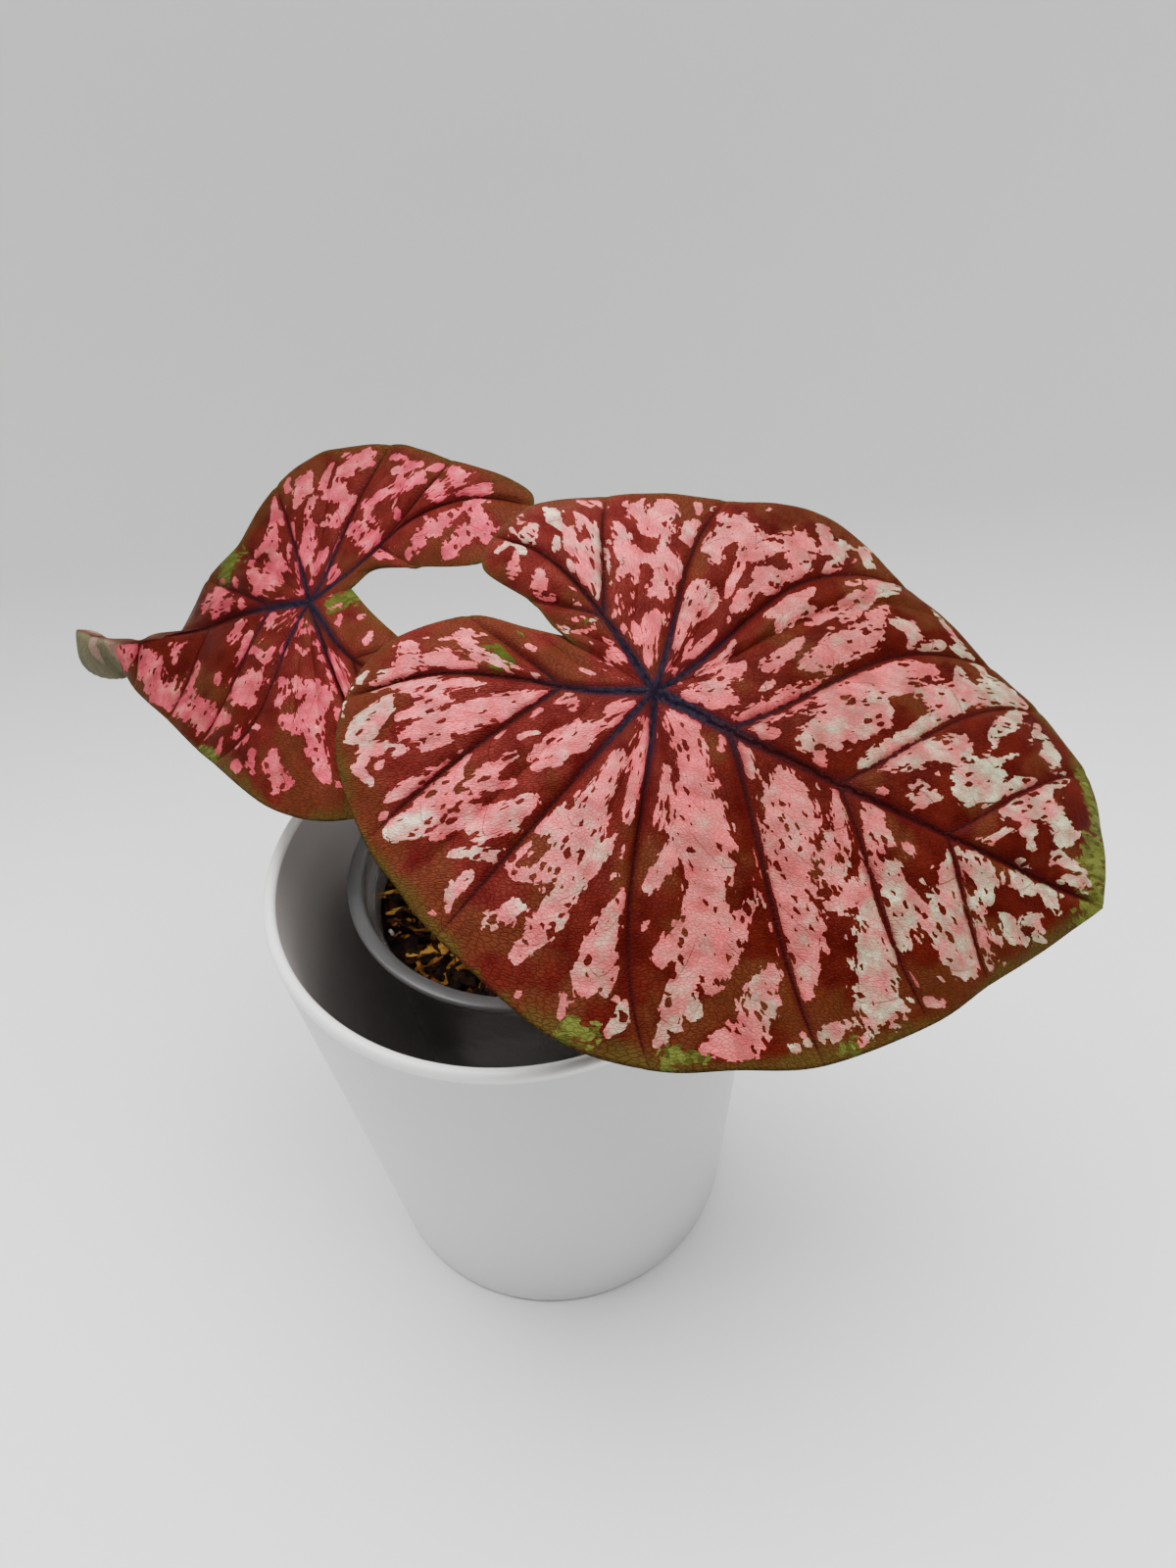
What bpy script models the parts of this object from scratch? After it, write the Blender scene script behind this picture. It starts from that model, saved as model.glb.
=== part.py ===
"""A potted caladium: two variegated leaves on slender petioles, growing from a tuber in a clear
nursery pot of coarse bark mix, which stands inside a white glazed cachepot.

Metres, +Z up. The origin is the centre of the cachepot's flat foot, on the surface it stands on.
The driving dimensions below are in millimetres and are turned to metres by MM.
"""

import math
import random

import bmesh
import bpy
from mathutils import Matrix, Vector
from mathutils import noise
from mathutils.geometry import interpolate_bezier

MM = 0.001
GAP = 0.3
TURN = 2 * math.pi

# Cachepot: a straight tapered cup with a flat foot and a rounded lip
POT_RIM_RADIUS = 65.0
POT_FOOT_RADIUS = 54.6
POT_HEIGHT = 143.6
POT_WALL = 3.2
POT_FLOOR = 6.0
POT_FOOT_ROUNDING = 2.5
POT_INSIDE_CORNER = 4.0
WALL_LEAN = 4
POT_SEGMENTS = 56

# Nursery pot: thin clear plastic, standing off centre on the cachepot's floor
NURSERY_CENTRE = (2.1, 10.5)
NURSERY_RIM_RADIUS = 49.0
NURSERY_COLLAR_RADIUS = 45.6
NURSERY_SHOULDER_RADIUS = 43.6
NURSERY_FOOT_RADIUS = 33.0
NURSERY_HEIGHT = 124.7
NURSERY_RIM_DEPTH = 3.2
NURSERY_COLLAR_DEPTH = 8.0
NURSERY_WALL = 1.1
NURSERY_FOOT_CHAMFER = 1.2
NURSERY_RIM_ROUNDING = 1.2
NURSERY_STEP = 1.4
NURSERY_SEGMENTS = 48
DRAIN_HOLES = 6
DRAIN_RADIUS = 4.0
DRAIN_CIRCLE = 22.0

# Potting mix: bark and fibre up to a little below the nursery pot's rim
SOIL_TOP = 118.5
SOIL_RELIEF = 1.6
SOIL_RINGS = 5
SOIL_WIDE_LUMPS = 9.0
SOIL_SMALL_LUMPS = 4.0
SOIL_FOOT_BEVEL = 2.0
CHIPS = 38
CHIP_SEED = 11
CHIP_LENGTHS = (5.0, 13.0)
CHIP_WIDTHS = (2.0, 4.5)
CHIP_DEPTHS = (1.6, 2.8)
CHIP_MARGIN = 1.0
CHIP_RISE = (-0.2, 0.5)
CHIP_TILT = 0.25
CHIP_UNEVENNESS = 0.5

# Tuber: squat, its crown just out of the mix
TUBER_RADIUS = 13.0
TUBER_HEIGHT = 20.0
TUBER_SHOWS = 3.0
TUBER_SQUARENESS = 0.8
TUBER_LUMPS = 7.0
TUBER_RELIEF = 0.8

# Petioles: base on the tuber's crown, top under the hub of the blade
PETIOLE_BASE_RADIUS = 3.0
PETIOLE_TOP_RADIUS = 1.8
PETIOLE_STEPS = 22
SOCKET_DEPTH = 7.0
PETIOLE_RISE = 34.0
PETIOLE_LEAN = 1.2
PETIOLE_ENTRY = 26.0
PETIOLE_TAPER = 0.7
PETIOLE_FLARE = 0.35
FLARE_STEPS = 2.5
FRONT_BASE = (4.4, -1.6)
BACK_BASE = (-4.2, 2.4)

# Blades: thickness of the sheet, of the raised ribs beneath it and of the hub
BLADE_THICKNESS = 0.7
RIB_THICKNESS = 1.9
HUB_THICKNESS = 2.6
HUB_RADIUS = 4.0
HUB_FILLET = 6.0
# How the sheet is shaped along a rib: s runs from 0 at the spine to 1 at the margin, the lift
# follows s to the power of DROOP, and the bow is fullest at two thirds, where its scale makes it 1.
DROOP = 1.7
BOW_SCALE = 6.75
# The sheet swells between ribs, fully where the chord from spine to margin is long enough and the
# hub is far enough away.
QUILTING = 1.3
SWELL_POWER = 0.8
QUILTED_CHORD = 30.0
QUILTED_REACH = 25.0
RIB_TAPER = 0.6
SPINE_RIB_WIDTH = 0.12
SPINE_RIB_TAPER = 0.8
SEAM_MERGE = 0.02
BLADE_ROWS = (0.0, 0.06, 0.22, 0.42, 0.62, 0.8, 0.93, 1.0)
RIB_HALF_WIDTH = 0.1
BLADE_COLUMNS = (0.0, RIB_HALF_WIDTH, 0.5, 1 - RIB_HALF_WIDTH)

# Each blade is drawn in its own frame, in millimetres: along from the hub to the tip, across it,
# and lift above the plane of the hub. Heading, dip and roll (degrees) turn that frame.
# A rib is (root, along, across, lift, bow, vein): where it leaves the spine, where it meets the
# margin, how far it bows away from the tip (mm), and how strongly it stands out as a vein.
# A root above 0 is a fraction of the midrib, below 0 a fraction of the lobe's own basal rib.
FRONT_LEAF = {
    "hub": (36, -12, 205),
    "turn": (-22, 19, 23),
    "midrib": ((0, 0, 0), (26, -2, 1), (52, -3, 1), (80, -3, -1), (108, -1, -7)),
    "halves": (
        {
            "side": -1,
            "basal": ((0, 0, 0), (-13, -6, 0), (-27, -10, 0), (-43, -16, -1), (-60, -27, -8)),
            "ribs": (
                (1.00, 108, -1, -7, 0, 0.0),
                (0.85, 98, -16, -7, 0, 0.0),
                (0.65, 89, -28, -6, 1, 0.4),
                (0.42, 80, -41, -5, 2, 0.5),
                (0.17, 62, -58, -5, 2, 1.0),
                (0.00, 46, -66, -5, 3, 0.0),
                (0.00, 30, -73, -5, 5, 1.0),
                (0.00, 9, -75, -6, 2, 0.0),
                (0.00, -20, -66, -8, 0, 1.0),
                (-0.17, -32, -60, -9, 0, 0.0),
                (-0.35, -42, -54, -9, 1, 0.8),
                (-0.70, -55, -41, -9, -1, 0.0),
                (-1.00, -60, -27, -8, 0, 0.0),
                (-0.70, -57, -12, -6, 0, 0.0),
                (-0.35, -44, 0, -4, 0, 0.4),
                (-0.17, -31, 3, -3, 0, 0.0),
                (0.00, -20, 4, -2, 0, 0.0),
            ),
        },
        {
            "side": 1,
            "basal": ((0, 0, 0), (-12, 8, 1), (-24, 15, 1), (-36, 20, -1), (-48, 23, -8)),
            "ribs": (
                (1.00, 108, -1, -7, 0, 0.0),
                (0.85, 105, 13, -8, 0, 0.0),
                (0.65, 97, 28, -9, 2, 0.4),
                (0.42, 83, 39, -10, 4, 0.5),
                (0.17, 69, 44, -9, 7, 1.0),
                (0.00, 57, 50, -8, 9, 0.0),
                (0.00, 44, 54, -8, 10, 1.0),
                (0.00, 20, 64, -9, 6, 0.0),
                (0.00, -3, 56, -8, 3, 1.0),
                (-0.17, -17, 51, -8, 2, 0.0),
                (-0.35, -29, 45, -9, 1, 0.8),
                (-0.70, -43, 35, -9, 0, 0.0),
                (-1.00, -48, 23, -8, 0, 0.0),
                (-0.70, -46, 13, -6, 0, 0.0),
                (-0.35, -33, 9, -3, 0, 0.4),
                (-0.17, -26, 6, -2, 0, 0.0),
                (0.00, -20, 4, -2, 0, 0.0),
            ),
        },
    ),
}

BACK_LEAF = {
    "hub": (-47, 47, 195),
    "turn": (158, 14, -22),
    "midrib": ((0, 0, 0), (20, 0, -2), (44, 3, -5), (70, 5, -4), (92, -2, -7)),
    "halves": (
        {
            "side": 1,
            "basal": ((0, 0, 0), (-14, 14, 0), (-26, 22, -1), (-39, 30, -4), (-51, 36, -9)),
            "ribs": (
                (1.00, 92, -2, -7, 0, 0.0),
                (0.85, 80, 1, -9, 0, 0.0),
                (0.65, 63, 17, -10, 1, 0.4),
                (0.42, 45, 28, -9, 2, 0.5),
                (0.17, 31, 37, -9, 3, 0.4),
                (0.00, 22, 42, -8, 7, 1.0),
                (0.00, 0, 54, -8, 4, 0.0),
                (0.00, -17, 57, -10, 2, 0.0),
                (0.00, -31, 54, -10, 2, 1.0),
                (-0.17, -35, 52, -10, 1, 0.0),
                (-0.35, -38, 50, -10, 0, 0.8),
                (-0.70, -46, 45, -10, 0, 0.0),
                (-1.00, -51, 36, -9, 0, 0.0),
                (-0.70, -46, 24, -6, 0, 0.0),
                (-0.35, -32, 13, -2, 0, 0.4),
                (-0.17, -20, 4, -1, 0, 0.0),
                (0.00, -11, -4, -1, 0, 0.0),
            ),
        },
        {
            "side": -1,
            "basal": ((0, 0, 0), (-12, -11, 0), (-25, -21, 2), (-42, -26, 2), (-59, -24, 0)),
            "ribs": (
                (1.00, 92, -2, -7, 0, 0.0),
                (0.85, 92, 6, -15, 0, 0.0),
                (0.65, 77, 9, -17, 0, 0.4),
                (0.42, 58, 0, -13, 0, 0.5),
                (0.17, 44, -14, -5, 0, 0.4),
                (0.00, 32, -21, 0, 0, 0.0),
                (0.00, 22, -37, 4, 0, 1.0),
                (0.00, 8, -46, 5, 2, 0.0),
                (0.00, -14, -45, 5, -2, 1.0),
                (-0.17, -24, -42, 5, -1, 0.0),
                (-0.35, -34, -38, 4, 0, 0.8),
                (-0.70, -52, -31, 2, 0, 0.0),
                (-1.00, -59, -24, 0, 0, 0.0),
                (-0.70, -50, -8, 0, 0, 0.0),
                (-0.35, -30, -8, 0, 0, 0.4),
                (-0.17, -17, -9, -1, 0, 0.0),
                (0.00, -11, -4, -1, 0, 0.0),
            ),
        },
    ),
}


def clear_scene():
    for obj in list(bpy.data.objects):
        bpy.data.objects.remove(obj, do_unlink=True)


def make_material(name, colour, roughness, transmission=0.0):
    material = bpy.data.materials.new(name)
    material.use_nodes = True
    shader = material.node_tree.nodes["Principled BSDF"]
    shader.inputs["Base Color"].default_value = (*colour, 1.0)
    shader.inputs["Roughness"].default_value = roughness
    shader.inputs["Metallic"].default_value = 0.0
    shader.inputs["Transmission Weight"].default_value = transmission
    return material


def add_object(name, bm, material, smooth=True):
    """Turns a bmesh drawn in millimetres into an object in metres."""
    bmesh.ops.scale(bm, vec=(MM, MM, MM), verts=bm.verts)
    mesh = bpy.data.meshes.new(name)
    bm.to_mesh(mesh)
    bm.free()
    mesh.materials.append(material)
    if smooth:
        mesh.shade_smooth()
        mesh.set_sharp_from_angle(angle=math.radians(40))
    obj = bpy.data.objects.new(name, mesh)
    bpy.context.scene.collection.objects.link(obj)
    return obj


def arc(centre, radius, start, end, steps):
    """Points of a round stretch of a profile, angles in degrees."""
    for i in range(steps + 1):
        angle = math.radians(start + (end - start) * i / steps)
        yield (centre[0] + radius * math.cos(angle), centre[1] + radius * math.sin(angle))


def turned(profile, segments):
    """A bmesh spun from a profile of (radius, height), with its poles merged."""
    bm = bmesh.new()
    verts = [bm.verts.new((r, 0, z)) for r, z in profile]
    edges = [bm.edges.new(pair) for pair in zip(verts, verts[1:])]
    bmesh.ops.spin(
        bm,
        geom=verts + edges,
        cent=(0, 0, 0),
        axis=(0, 0, 1),
        angle=TURN,
        steps=segments,
        use_merge=True,
    )
    bmesh.ops.remove_doubles(bm, verts=bm.verts, dist=0.01)
    bmesh.ops.recalc_face_normals(bm, faces=bm.faces)
    return bm


def keep_largest_body(mesh):
    """Drops scraps, and fills the hollows that crossing pieces seal, by keeping one outer skin."""
    bm = bmesh.new()
    bm.from_mesh(mesh)
    left = set(bm.verts)
    bodies = []
    while left:
        body = set()
        front = [left.pop()]
        while front:
            vert = front.pop()
            body.add(vert)
            for edge in vert.link_edges:
                other = edge.other_vert(vert)
                if other in left:
                    left.remove(other)
                    front.append(other)
        bodies.append(body)
    largest = max(bodies, key=len)
    for body in bodies:
        if body is not largest:
            bmesh.ops.delete(bm, geom=list(body), context="VERTS")
    bm.to_mesh(mesh)
    bm.free()


def join_by_boolean(obj, others, operation, solver="EXACT"):
    """Applies one Boolean with a collection of helpers, and removes the helpers."""
    helpers = bpy.data.collections.new(obj.name + "_helpers")
    for other in others:
        bpy.context.scene.collection.objects.unlink(other)
        helpers.objects.link(other)
    boolean = obj.modifiers.new("join", "BOOLEAN")
    boolean.operation = operation
    boolean.operand_type = "COLLECTION"
    boolean.collection = helpers
    boolean.solver = solver
    graph = bpy.context.evaluated_depsgraph_get()
    mesh = bpy.data.meshes.new_from_object(obj.evaluated_get(graph))
    obj.modifiers.remove(boolean)
    keep_largest_body(mesh)
    obj.data = mesh
    for other in others:
        bpy.data.objects.remove(other, do_unlink=True)
    bpy.data.collections.remove(helpers)


def build_cachepot():
    slope = (POT_RIM_RADIUS - POT_FOOT_RADIUS) / POT_HEIGHT
    lip = POT_WALL / 2
    lip_centre = (POT_RIM_RADIUS - lip, POT_HEIGHT - lip)
    inner_floor = POT_FOOT_RADIUS + slope * POT_FLOOR - POT_WALL
    rounding = POT_FOOT_ROUNDING
    profile = [(0, 0)]
    profile += arc((POT_FOOT_RADIUS - rounding, rounding), rounding, -90, -WALL_LEAN, 4)
    profile += arc(lip_centre, lip, -WALL_LEAN, 180 - WALL_LEAN, 8)
    corner = POT_INSIDE_CORNER
    profile += arc((inner_floor - corner, POT_FLOOR + corner), corner, -WALL_LEAN, -90, 4)
    profile.append((0, POT_FLOOR))
    glaze = make_material("white_glaze", (0.80, 0.79, 0.80), 0.28)
    return add_object("cachepot", turned(profile, POT_SEGMENTS), glaze)


def nursery_wall_radius(height):
    """Outer radius of the nursery pot's tapered wall at a height above its foot."""
    top = NURSERY_HEIGHT - NURSERY_COLLAR_DEPTH
    return NURSERY_FOOT_RADIUS + (NURSERY_SHOULDER_RADIUS - NURSERY_FOOT_RADIUS) * height / top


def nursery_place(obj, height):
    obj.location = (NURSERY_CENTRE[0] * MM, NURSERY_CENTRE[1] * MM, height * MM)


def build_nursery_pot():
    wall = NURSERY_WALL
    shoulder = NURSERY_HEIGHT - NURSERY_COLLAR_DEPTH
    collar = NURSERY_HEIGHT - NURSERY_RIM_DEPTH
    rim = NURSERY_RIM_RADIUS
    inside = NURSERY_COLLAR_RADIUS - wall
    chamfer = NURSERY_FOOT_CHAMFER
    rounding = NURSERY_RIM_ROUNDING
    profile = [
        (0, 0),
        (NURSERY_FOOT_RADIUS - chamfer, 0),
        (nursery_wall_radius(chamfer), chamfer),
        (NURSERY_SHOULDER_RADIUS, shoulder),
        (NURSERY_COLLAR_RADIUS, shoulder + NURSERY_STEP),
        (NURSERY_COLLAR_RADIUS, collar),
        (rim - rounding / 2, collar),
    ]
    profile += arc((rim - rounding, NURSERY_HEIGHT - rounding), rounding, -30, 90, 4)
    profile += [
        (inside + rounding / 2, NURSERY_HEIGHT),
        (inside, NURSERY_HEIGHT - rounding / 2),
        (inside, shoulder + NURSERY_STEP + wall / 2),
        (NURSERY_SHOULDER_RADIUS - wall, shoulder + wall / 2),
        (nursery_wall_radius(2 * chamfer) - wall, 2 * chamfer),
        (nursery_wall_radius(chamfer) - wall - chamfer, wall),
        (0, wall),
    ]
    clear = make_material("clear_plastic", (0.86, 0.88, 0.90), 0.18, 0.7)
    pot = add_object("nursery_pot", turned(profile, NURSERY_SEGMENTS), clear)
    cutters = []
    for i in range(DRAIN_HOLES):
        angle = TURN * i / DRAIN_HOLES
        centre = (DRAIN_CIRCLE * math.cos(angle), DRAIN_CIRCLE * math.sin(angle), wall / 2)
        bm = bmesh.new()
        bmesh.ops.create_cone(
            bm,
            cap_ends=True,
            segments=16,
            radius1=DRAIN_RADIUS,
            radius2=DRAIN_RADIUS,
            depth=4 * wall,
            matrix=Matrix.Translation(centre),
        )
        cutters.append(add_object("drain_cutter_%d" % i, bm, clear))
    join_by_boolean(pot, cutters, "DIFFERENCE")
    nursery_place(pot, POT_FLOOR + GAP)
    return pot


def soil_height(x, y):
    """Uneven top of the mix, above the nursery pot's foot."""
    wide = noise.noise(Vector((x / SOIL_WIDE_LUMPS, y / SOIL_WIDE_LUMPS, 3.0)))
    small = noise.noise(Vector((x / SOIL_SMALL_LUMPS, y / SOIL_SMALL_LUMPS, 7.0)))
    return SOIL_TOP - POT_FLOOR - GAP + SOIL_RELIEF * (wide + 0.5 * small)


def tuber_profile(grow):
    """Half outline of the tuber about its own centre, from the top down, made larger by grow."""
    radius = TUBER_RADIUS + grow
    half_height = TUBER_HEIGHT / 2 + grow
    for i in range(9):
        angle = math.pi * i / 8
        yield (radius * math.sin(angle) ** TUBER_SQUARENESS, half_height * math.cos(angle))


def tuber_centre_height():
    return SOIL_TOP - POT_FLOOR - GAP + TUBER_SHOWS - TUBER_HEIGHT / 2


def build_potting_mix():
    floor = NURSERY_WALL + GAP
    pit = [(r, z + tuber_centre_height()) for r, z in tuber_profile(GAP) if z < 0.01]
    pit_radius = pit[0][0]
    top = SOIL_TOP - POT_FLOOR - GAP
    edge = nursery_wall_radius(top) - NURSERY_WALL - GAP
    bevel = SOIL_FOOT_BEVEL
    foot = nursery_wall_radius(floor + bevel) - NURSERY_WALL - GAP
    profile = [(0, floor), (foot - bevel, floor), (foot, floor + bevel), (edge, top)]
    for i in range(1, SOIL_RINGS):
        profile.append((edge + (pit_radius - edge) * i / SOIL_RINGS, top))
    profile.append((pit_radius, top))
    profile += pit[:-1]
    profile.append((0, pit[-1][1]))
    bm = turned(profile, NURSERY_SEGMENTS)
    for vert in bm.verts:
        if abs(vert.co.z - top) < 0.01:
            vert.co.z = soil_height(vert.co.x, vert.co.y)
    dark = make_material("bark_mix", (0.045, 0.022, 0.012), 0.9)
    soil = add_object("potting_mix", bm, dark, smooth=False)
    draw = random.Random(CHIP_SEED)
    chips = []
    for i in range(CHIPS):
        angle = draw.uniform(0, TURN)
        reach = draw.uniform(0.1, 1.0) ** 0.5
        length = draw.uniform(*CHIP_LENGTHS)
        width = draw.uniform(*CHIP_WIDTHS)
        inner = pit_radius + 1.5 * CHIP_MARGIN + length / 2
        outer = edge - CHIP_MARGIN - length / 2
        radius = inner + (outer - inner) * reach
        x = radius * math.cos(angle)
        y = radius * math.sin(angle)
        place = Matrix.Translation((x, y, soil_height(x, y) + draw.uniform(*CHIP_RISE)))
        spin = Matrix.Rotation(draw.uniform(0, TURN), 4, "Z")
        tilt = Matrix.Rotation(draw.uniform(-CHIP_TILT, CHIP_TILT), 4, "X")
        tilt = tilt @ Matrix.Rotation(draw.uniform(-CHIP_TILT, CHIP_TILT), 4, "Y")
        size = Matrix.Diagonal((length, width, draw.uniform(*CHIP_DEPTHS), 1.0))
        bm = bmesh.new()
        bmesh.ops.create_cube(bm, size=1.0, matrix=place @ spin @ tilt @ size)
        for vert in bm.verts:
            shift = Vector((draw.uniform(-1, 1), draw.uniform(-1, 1), 0))
            vert.co += shift * CHIP_UNEVENNESS
        chips.append(add_object("chip_%d" % i, bm, dark, smooth=False))
    join_by_boolean(soil, chips, "UNION", "MANIFOLD")
    nursery_place(soil, POT_FLOOR + GAP)
    return soil


def blade_frame(leaf):
    """Matrix from a blade's own frame to the part's, both in millimetres."""
    heading, dip, roll = (math.radians(angle) for angle in leaf["turn"])
    flat = Vector((math.cos(heading), math.sin(heading), 0)) * math.cos(dip)
    along = flat - Vector((0, 0, math.sin(dip)))
    level = Vector((-math.sin(heading), math.cos(heading), 0))
    across = Matrix.Rotation(roll, 3, along) @ level
    normal = along.cross(across)
    turn = Matrix((along, across, normal)).transposed()
    return Matrix.Translation(leaf["hub"]) @ turn.to_4x4()


def petiole_path(leaf, base):
    """Points of a petiole's centre line, from its socket in the tuber to the underside of the hub."""
    frame = blade_frame(leaf)
    normal = frame.to_3x3() @ Vector((0, 0, 1))
    crown = POT_FLOOR + GAP + tuber_centre_height() + TUBER_HEIGHT / 2
    start = Vector((NURSERY_CENTRE[0] + base[0], NURSERY_CENTRE[1] + base[1], crown - SOCKET_DEPTH))
    end = Vector(leaf["hub"]) - normal * (HUB_THICKNESS + GAP)
    lean = Vector((base[0], base[1], 0)) * PETIOLE_LEAN
    start_handle = start + Vector((0, 0, PETIOLE_RISE)) + lean
    end_handle = end - normal * PETIOLE_ENTRY
    return interpolate_bezier(start, start_handle, end_handle, end, PETIOLE_STEPS)


def tube(name, points, base_radius, top_radius, material):
    curve = bpy.data.curves.new(name, "CURVE")
    curve.dimensions = "3D"
    curve.bevel_depth = MM
    curve.bevel_resolution = 2
    curve.use_fill_caps = True
    spline = curve.splines.new("POLY")
    spline.points.add(len(points) - 1)
    last = len(points) - 1
    for i, (point, place) in enumerate(zip(spline.points, points)):
        point.co = (*(place * MM), 1.0)
        flare = PETIOLE_FLARE * max(0.0, 1 - (last - i) / FLARE_STEPS)
        taper = (top_radius - base_radius) * (i / last) ** PETIOLE_TAPER
        point.radius = base_radius + taper + flare
    curve.materials.append(material)
    obj = bpy.data.objects.new(name, curve)
    bpy.context.scene.collection.objects.link(obj)
    return obj


def solid_from_curve(obj):
    """Replaces a tube's curve with its mesh, so that it can cut or be cut."""
    graph = bpy.context.evaluated_depsgraph_get()
    mesh = bpy.data.meshes.new_from_object(obj.evaluated_get(graph))
    solid = bpy.data.objects.new(obj.name, mesh)
    bpy.context.scene.collection.objects.link(solid)
    bpy.data.objects.remove(obj, do_unlink=True)
    bm = bmesh.new()
    bm.from_mesh(mesh)
    bmesh.ops.remove_doubles(bm, verts=bm.verts, dist=0.00001)
    bmesh.ops.recalc_face_normals(bm, faces=bm.faces)
    bm.to_mesh(mesh)
    bm.free()
    return solid


def build_petioles(stem):
    for name, leaf, base in (
        ("front_petiole", FRONT_LEAF, FRONT_BASE),
        ("back_petiole", BACK_LEAF, BACK_BASE),
    ):
        path = petiole_path(leaf, base)
        tube(name, path, PETIOLE_BASE_RADIUS, PETIOLE_TOP_RADIUS, stem)


def build_tuber(stem):
    bm = turned(list(tuber_profile(0.0)), 32)
    for vert in bm.verts:
        lump = noise.noise(vert.co / TUBER_LUMPS + Vector((5, 0, 0)))
        vert.co -= vert.co.normalized() * TUBER_RELIEF * abs(lump)
    brown = make_material("tuber_skin", (0.20, 0.11, 0.06), 0.85)
    tuber = add_object("tuber", bm, brown)
    nursery_place(tuber, POT_FLOOR + GAP + tuber_centre_height())
    cutters = []
    for leaf, base in ((FRONT_LEAF, FRONT_BASE), (BACK_LEAF, BACK_BASE)):
        path = petiole_path(leaf, base)
        start = path[0] + (path[0] - path[1]).normalized() * GAP
        socket = tube("socket", [start] + path, PETIOLE_BASE_RADIUS + GAP, PETIOLE_BASE_RADIUS, stem)
        cutters.append(solid_from_curve(socket))
    join_by_boolean(tuber, cutters, "DIFFERENCE")
    return tuber


def smooth_point(before, start, end, after, u):
    """Catmull-Rom point at u between start and end."""
    return 0.5 * (
        2 * start
        + (end - before) * u
        + (2 * before - 5 * start + 4 * end - after) * u**2
        + (3 * start - before - 3 * end + after) * u**3
    )


def on_smooth_line(points, fraction):
    points = [Vector(point) for point in points]
    place = fraction * (len(points) - 1)
    i = min(int(place), len(points) - 2)
    before = points[i - 1] if i > 0 else 2 * points[0] - points[1]
    after = points[i + 2] if i + 2 < len(points) else 2 * points[-1] - points[-2]
    return smooth_point(before, points[i], points[i + 1], after, place - i)


def margin_stations(ribs):
    """Every column of a half blade: (root, margin point, bow, vein strength, swelling)."""
    margin = [Vector(rib[1:4]) for rib in ribs]
    for i in range(len(ribs) - 1):
        before = margin[i - 1] if i > 0 else 2 * margin[0] - margin[1]
        after = margin[i + 2] if i + 2 < len(ribs) else 2 * margin[-1] - margin[-2]
        steps = BLADE_COLUMNS if i < len(ribs) - 2 else (*BLADE_COLUMNS, 1.0)
        for u in steps:
            root = ribs[i][0] + (ribs[i + 1][0] - ribs[i][0]) * u
            bow = ribs[i][4] + (ribs[i + 1][4] - ribs[i][4]) * u
            vein = ribs[i][5] * max(0.0, 1 - u / RIB_HALF_WIDTH)
            vein += ribs[i + 1][5] * max(0.0, 1 - (1 - u) / RIB_HALF_WIDTH)
            place = smooth_point(before, margin[i], margin[i + 1], after, u)
            yield root, place, bow, vein, 1 - (2 * u - 1) ** 2


def blade_column(leaf, half, station):
    """Points of one column from the spine to the margin, each with the blade's thickness there."""
    root, margin, bow, vein, swelling = station
    spine = on_smooth_line(leaf["midrib"], root) if root >= 0 else on_smooth_line(half["basal"], -root)
    chord = (margin - spine).to_2d()
    sideways = Vector((-chord.y, chord.x)) * half["side"]
    sideways = sideways.normalized() if chord.length > 0.01 else Vector((0, 0))
    for s in BLADE_ROWS:
        point = spine.lerp(margin, s)
        point.z = spine.z + (margin.z - spine.z) * s**DROOP
        bend = bow * BOW_SCALE * s**2 * (1 - s)
        point.x += sideways.x * bend
        point.y += sideways.y * bend
        swell = swelling * math.sin(math.pi * s) ** SWELL_POWER
        swell *= min(1.0, chord.length / QUILTED_CHORD) * min(1.0, point.length / QUILTED_REACH)
        point.z += QUILTING * swell
        rib = vein * (1 - s) ** RIB_TAPER
        spine_rib = max(0.0, 1 - s / SPINE_RIB_WIDTH) * (1 - SPINE_RIB_TAPER * abs(root))
        hub = max(0.0, 1 - max(0.0, point.length - HUB_RADIUS) / HUB_FILLET)
        thickness = BLADE_THICKNESS + (RIB_THICKNESS - BLADE_THICKNESS) * max(rib, spine_rib)
        yield point, thickness + (HUB_THICKNESS - thickness) * hub


def build_blade(name, leaf, material):
    bm = bmesh.new()
    weight = bm.verts.layers.deform.verify()
    for half in leaf["halves"]:
        grid = []
        for station in margin_stations(half["ribs"]):
            column = []
            for point, thickness in blade_column(leaf, half, station):
                vert = bm.verts.new(point)
                vert[weight][0] = thickness / HUB_THICKNESS
                column.append(vert)
            grid.append(column)
        for left, right in zip(grid, grid[1:]):
            for i in range(len(BLADE_ROWS) - 1):
                corners = (left[i], left[i + 1], right[i + 1], right[i])
                bm.faces.new(corners if half["side"] > 0 else corners[::-1])
    bmesh.ops.remove_doubles(bm, verts=bm.verts, dist=SEAM_MERGE)
    bmesh.ops.triangulate(bm, faces=bm.faces)
    bmesh.ops.transform(bm, matrix=blade_frame(leaf), verts=bm.verts)
    blade = add_object(name, bm, material)
    blade.vertex_groups.new(name="thickness")
    sheet = blade.modifiers.new("thickness", "SOLIDIFY")
    sheet.thickness = HUB_THICKNESS * MM
    sheet.offset = -1.0
    sheet.vertex_group = "thickness"
    sheet.use_even_offset = False
    return blade


def main():
    clear_scene()
    build_cachepot()
    build_nursery_pot()
    build_potting_mix()
    stem = make_material("petiole_skin", (0.16, 0.09, 0.07), 0.45)
    build_tuber(stem)
    build_petioles(stem)
    leaf = make_material("leaf", (0.36, 0.06, 0.06), 0.42)
    build_blade("front_blade", FRONT_LEAF, leaf)
    build_blade("back_blade", BACK_LEAF, leaf)


main()
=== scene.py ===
import math
import random

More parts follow.
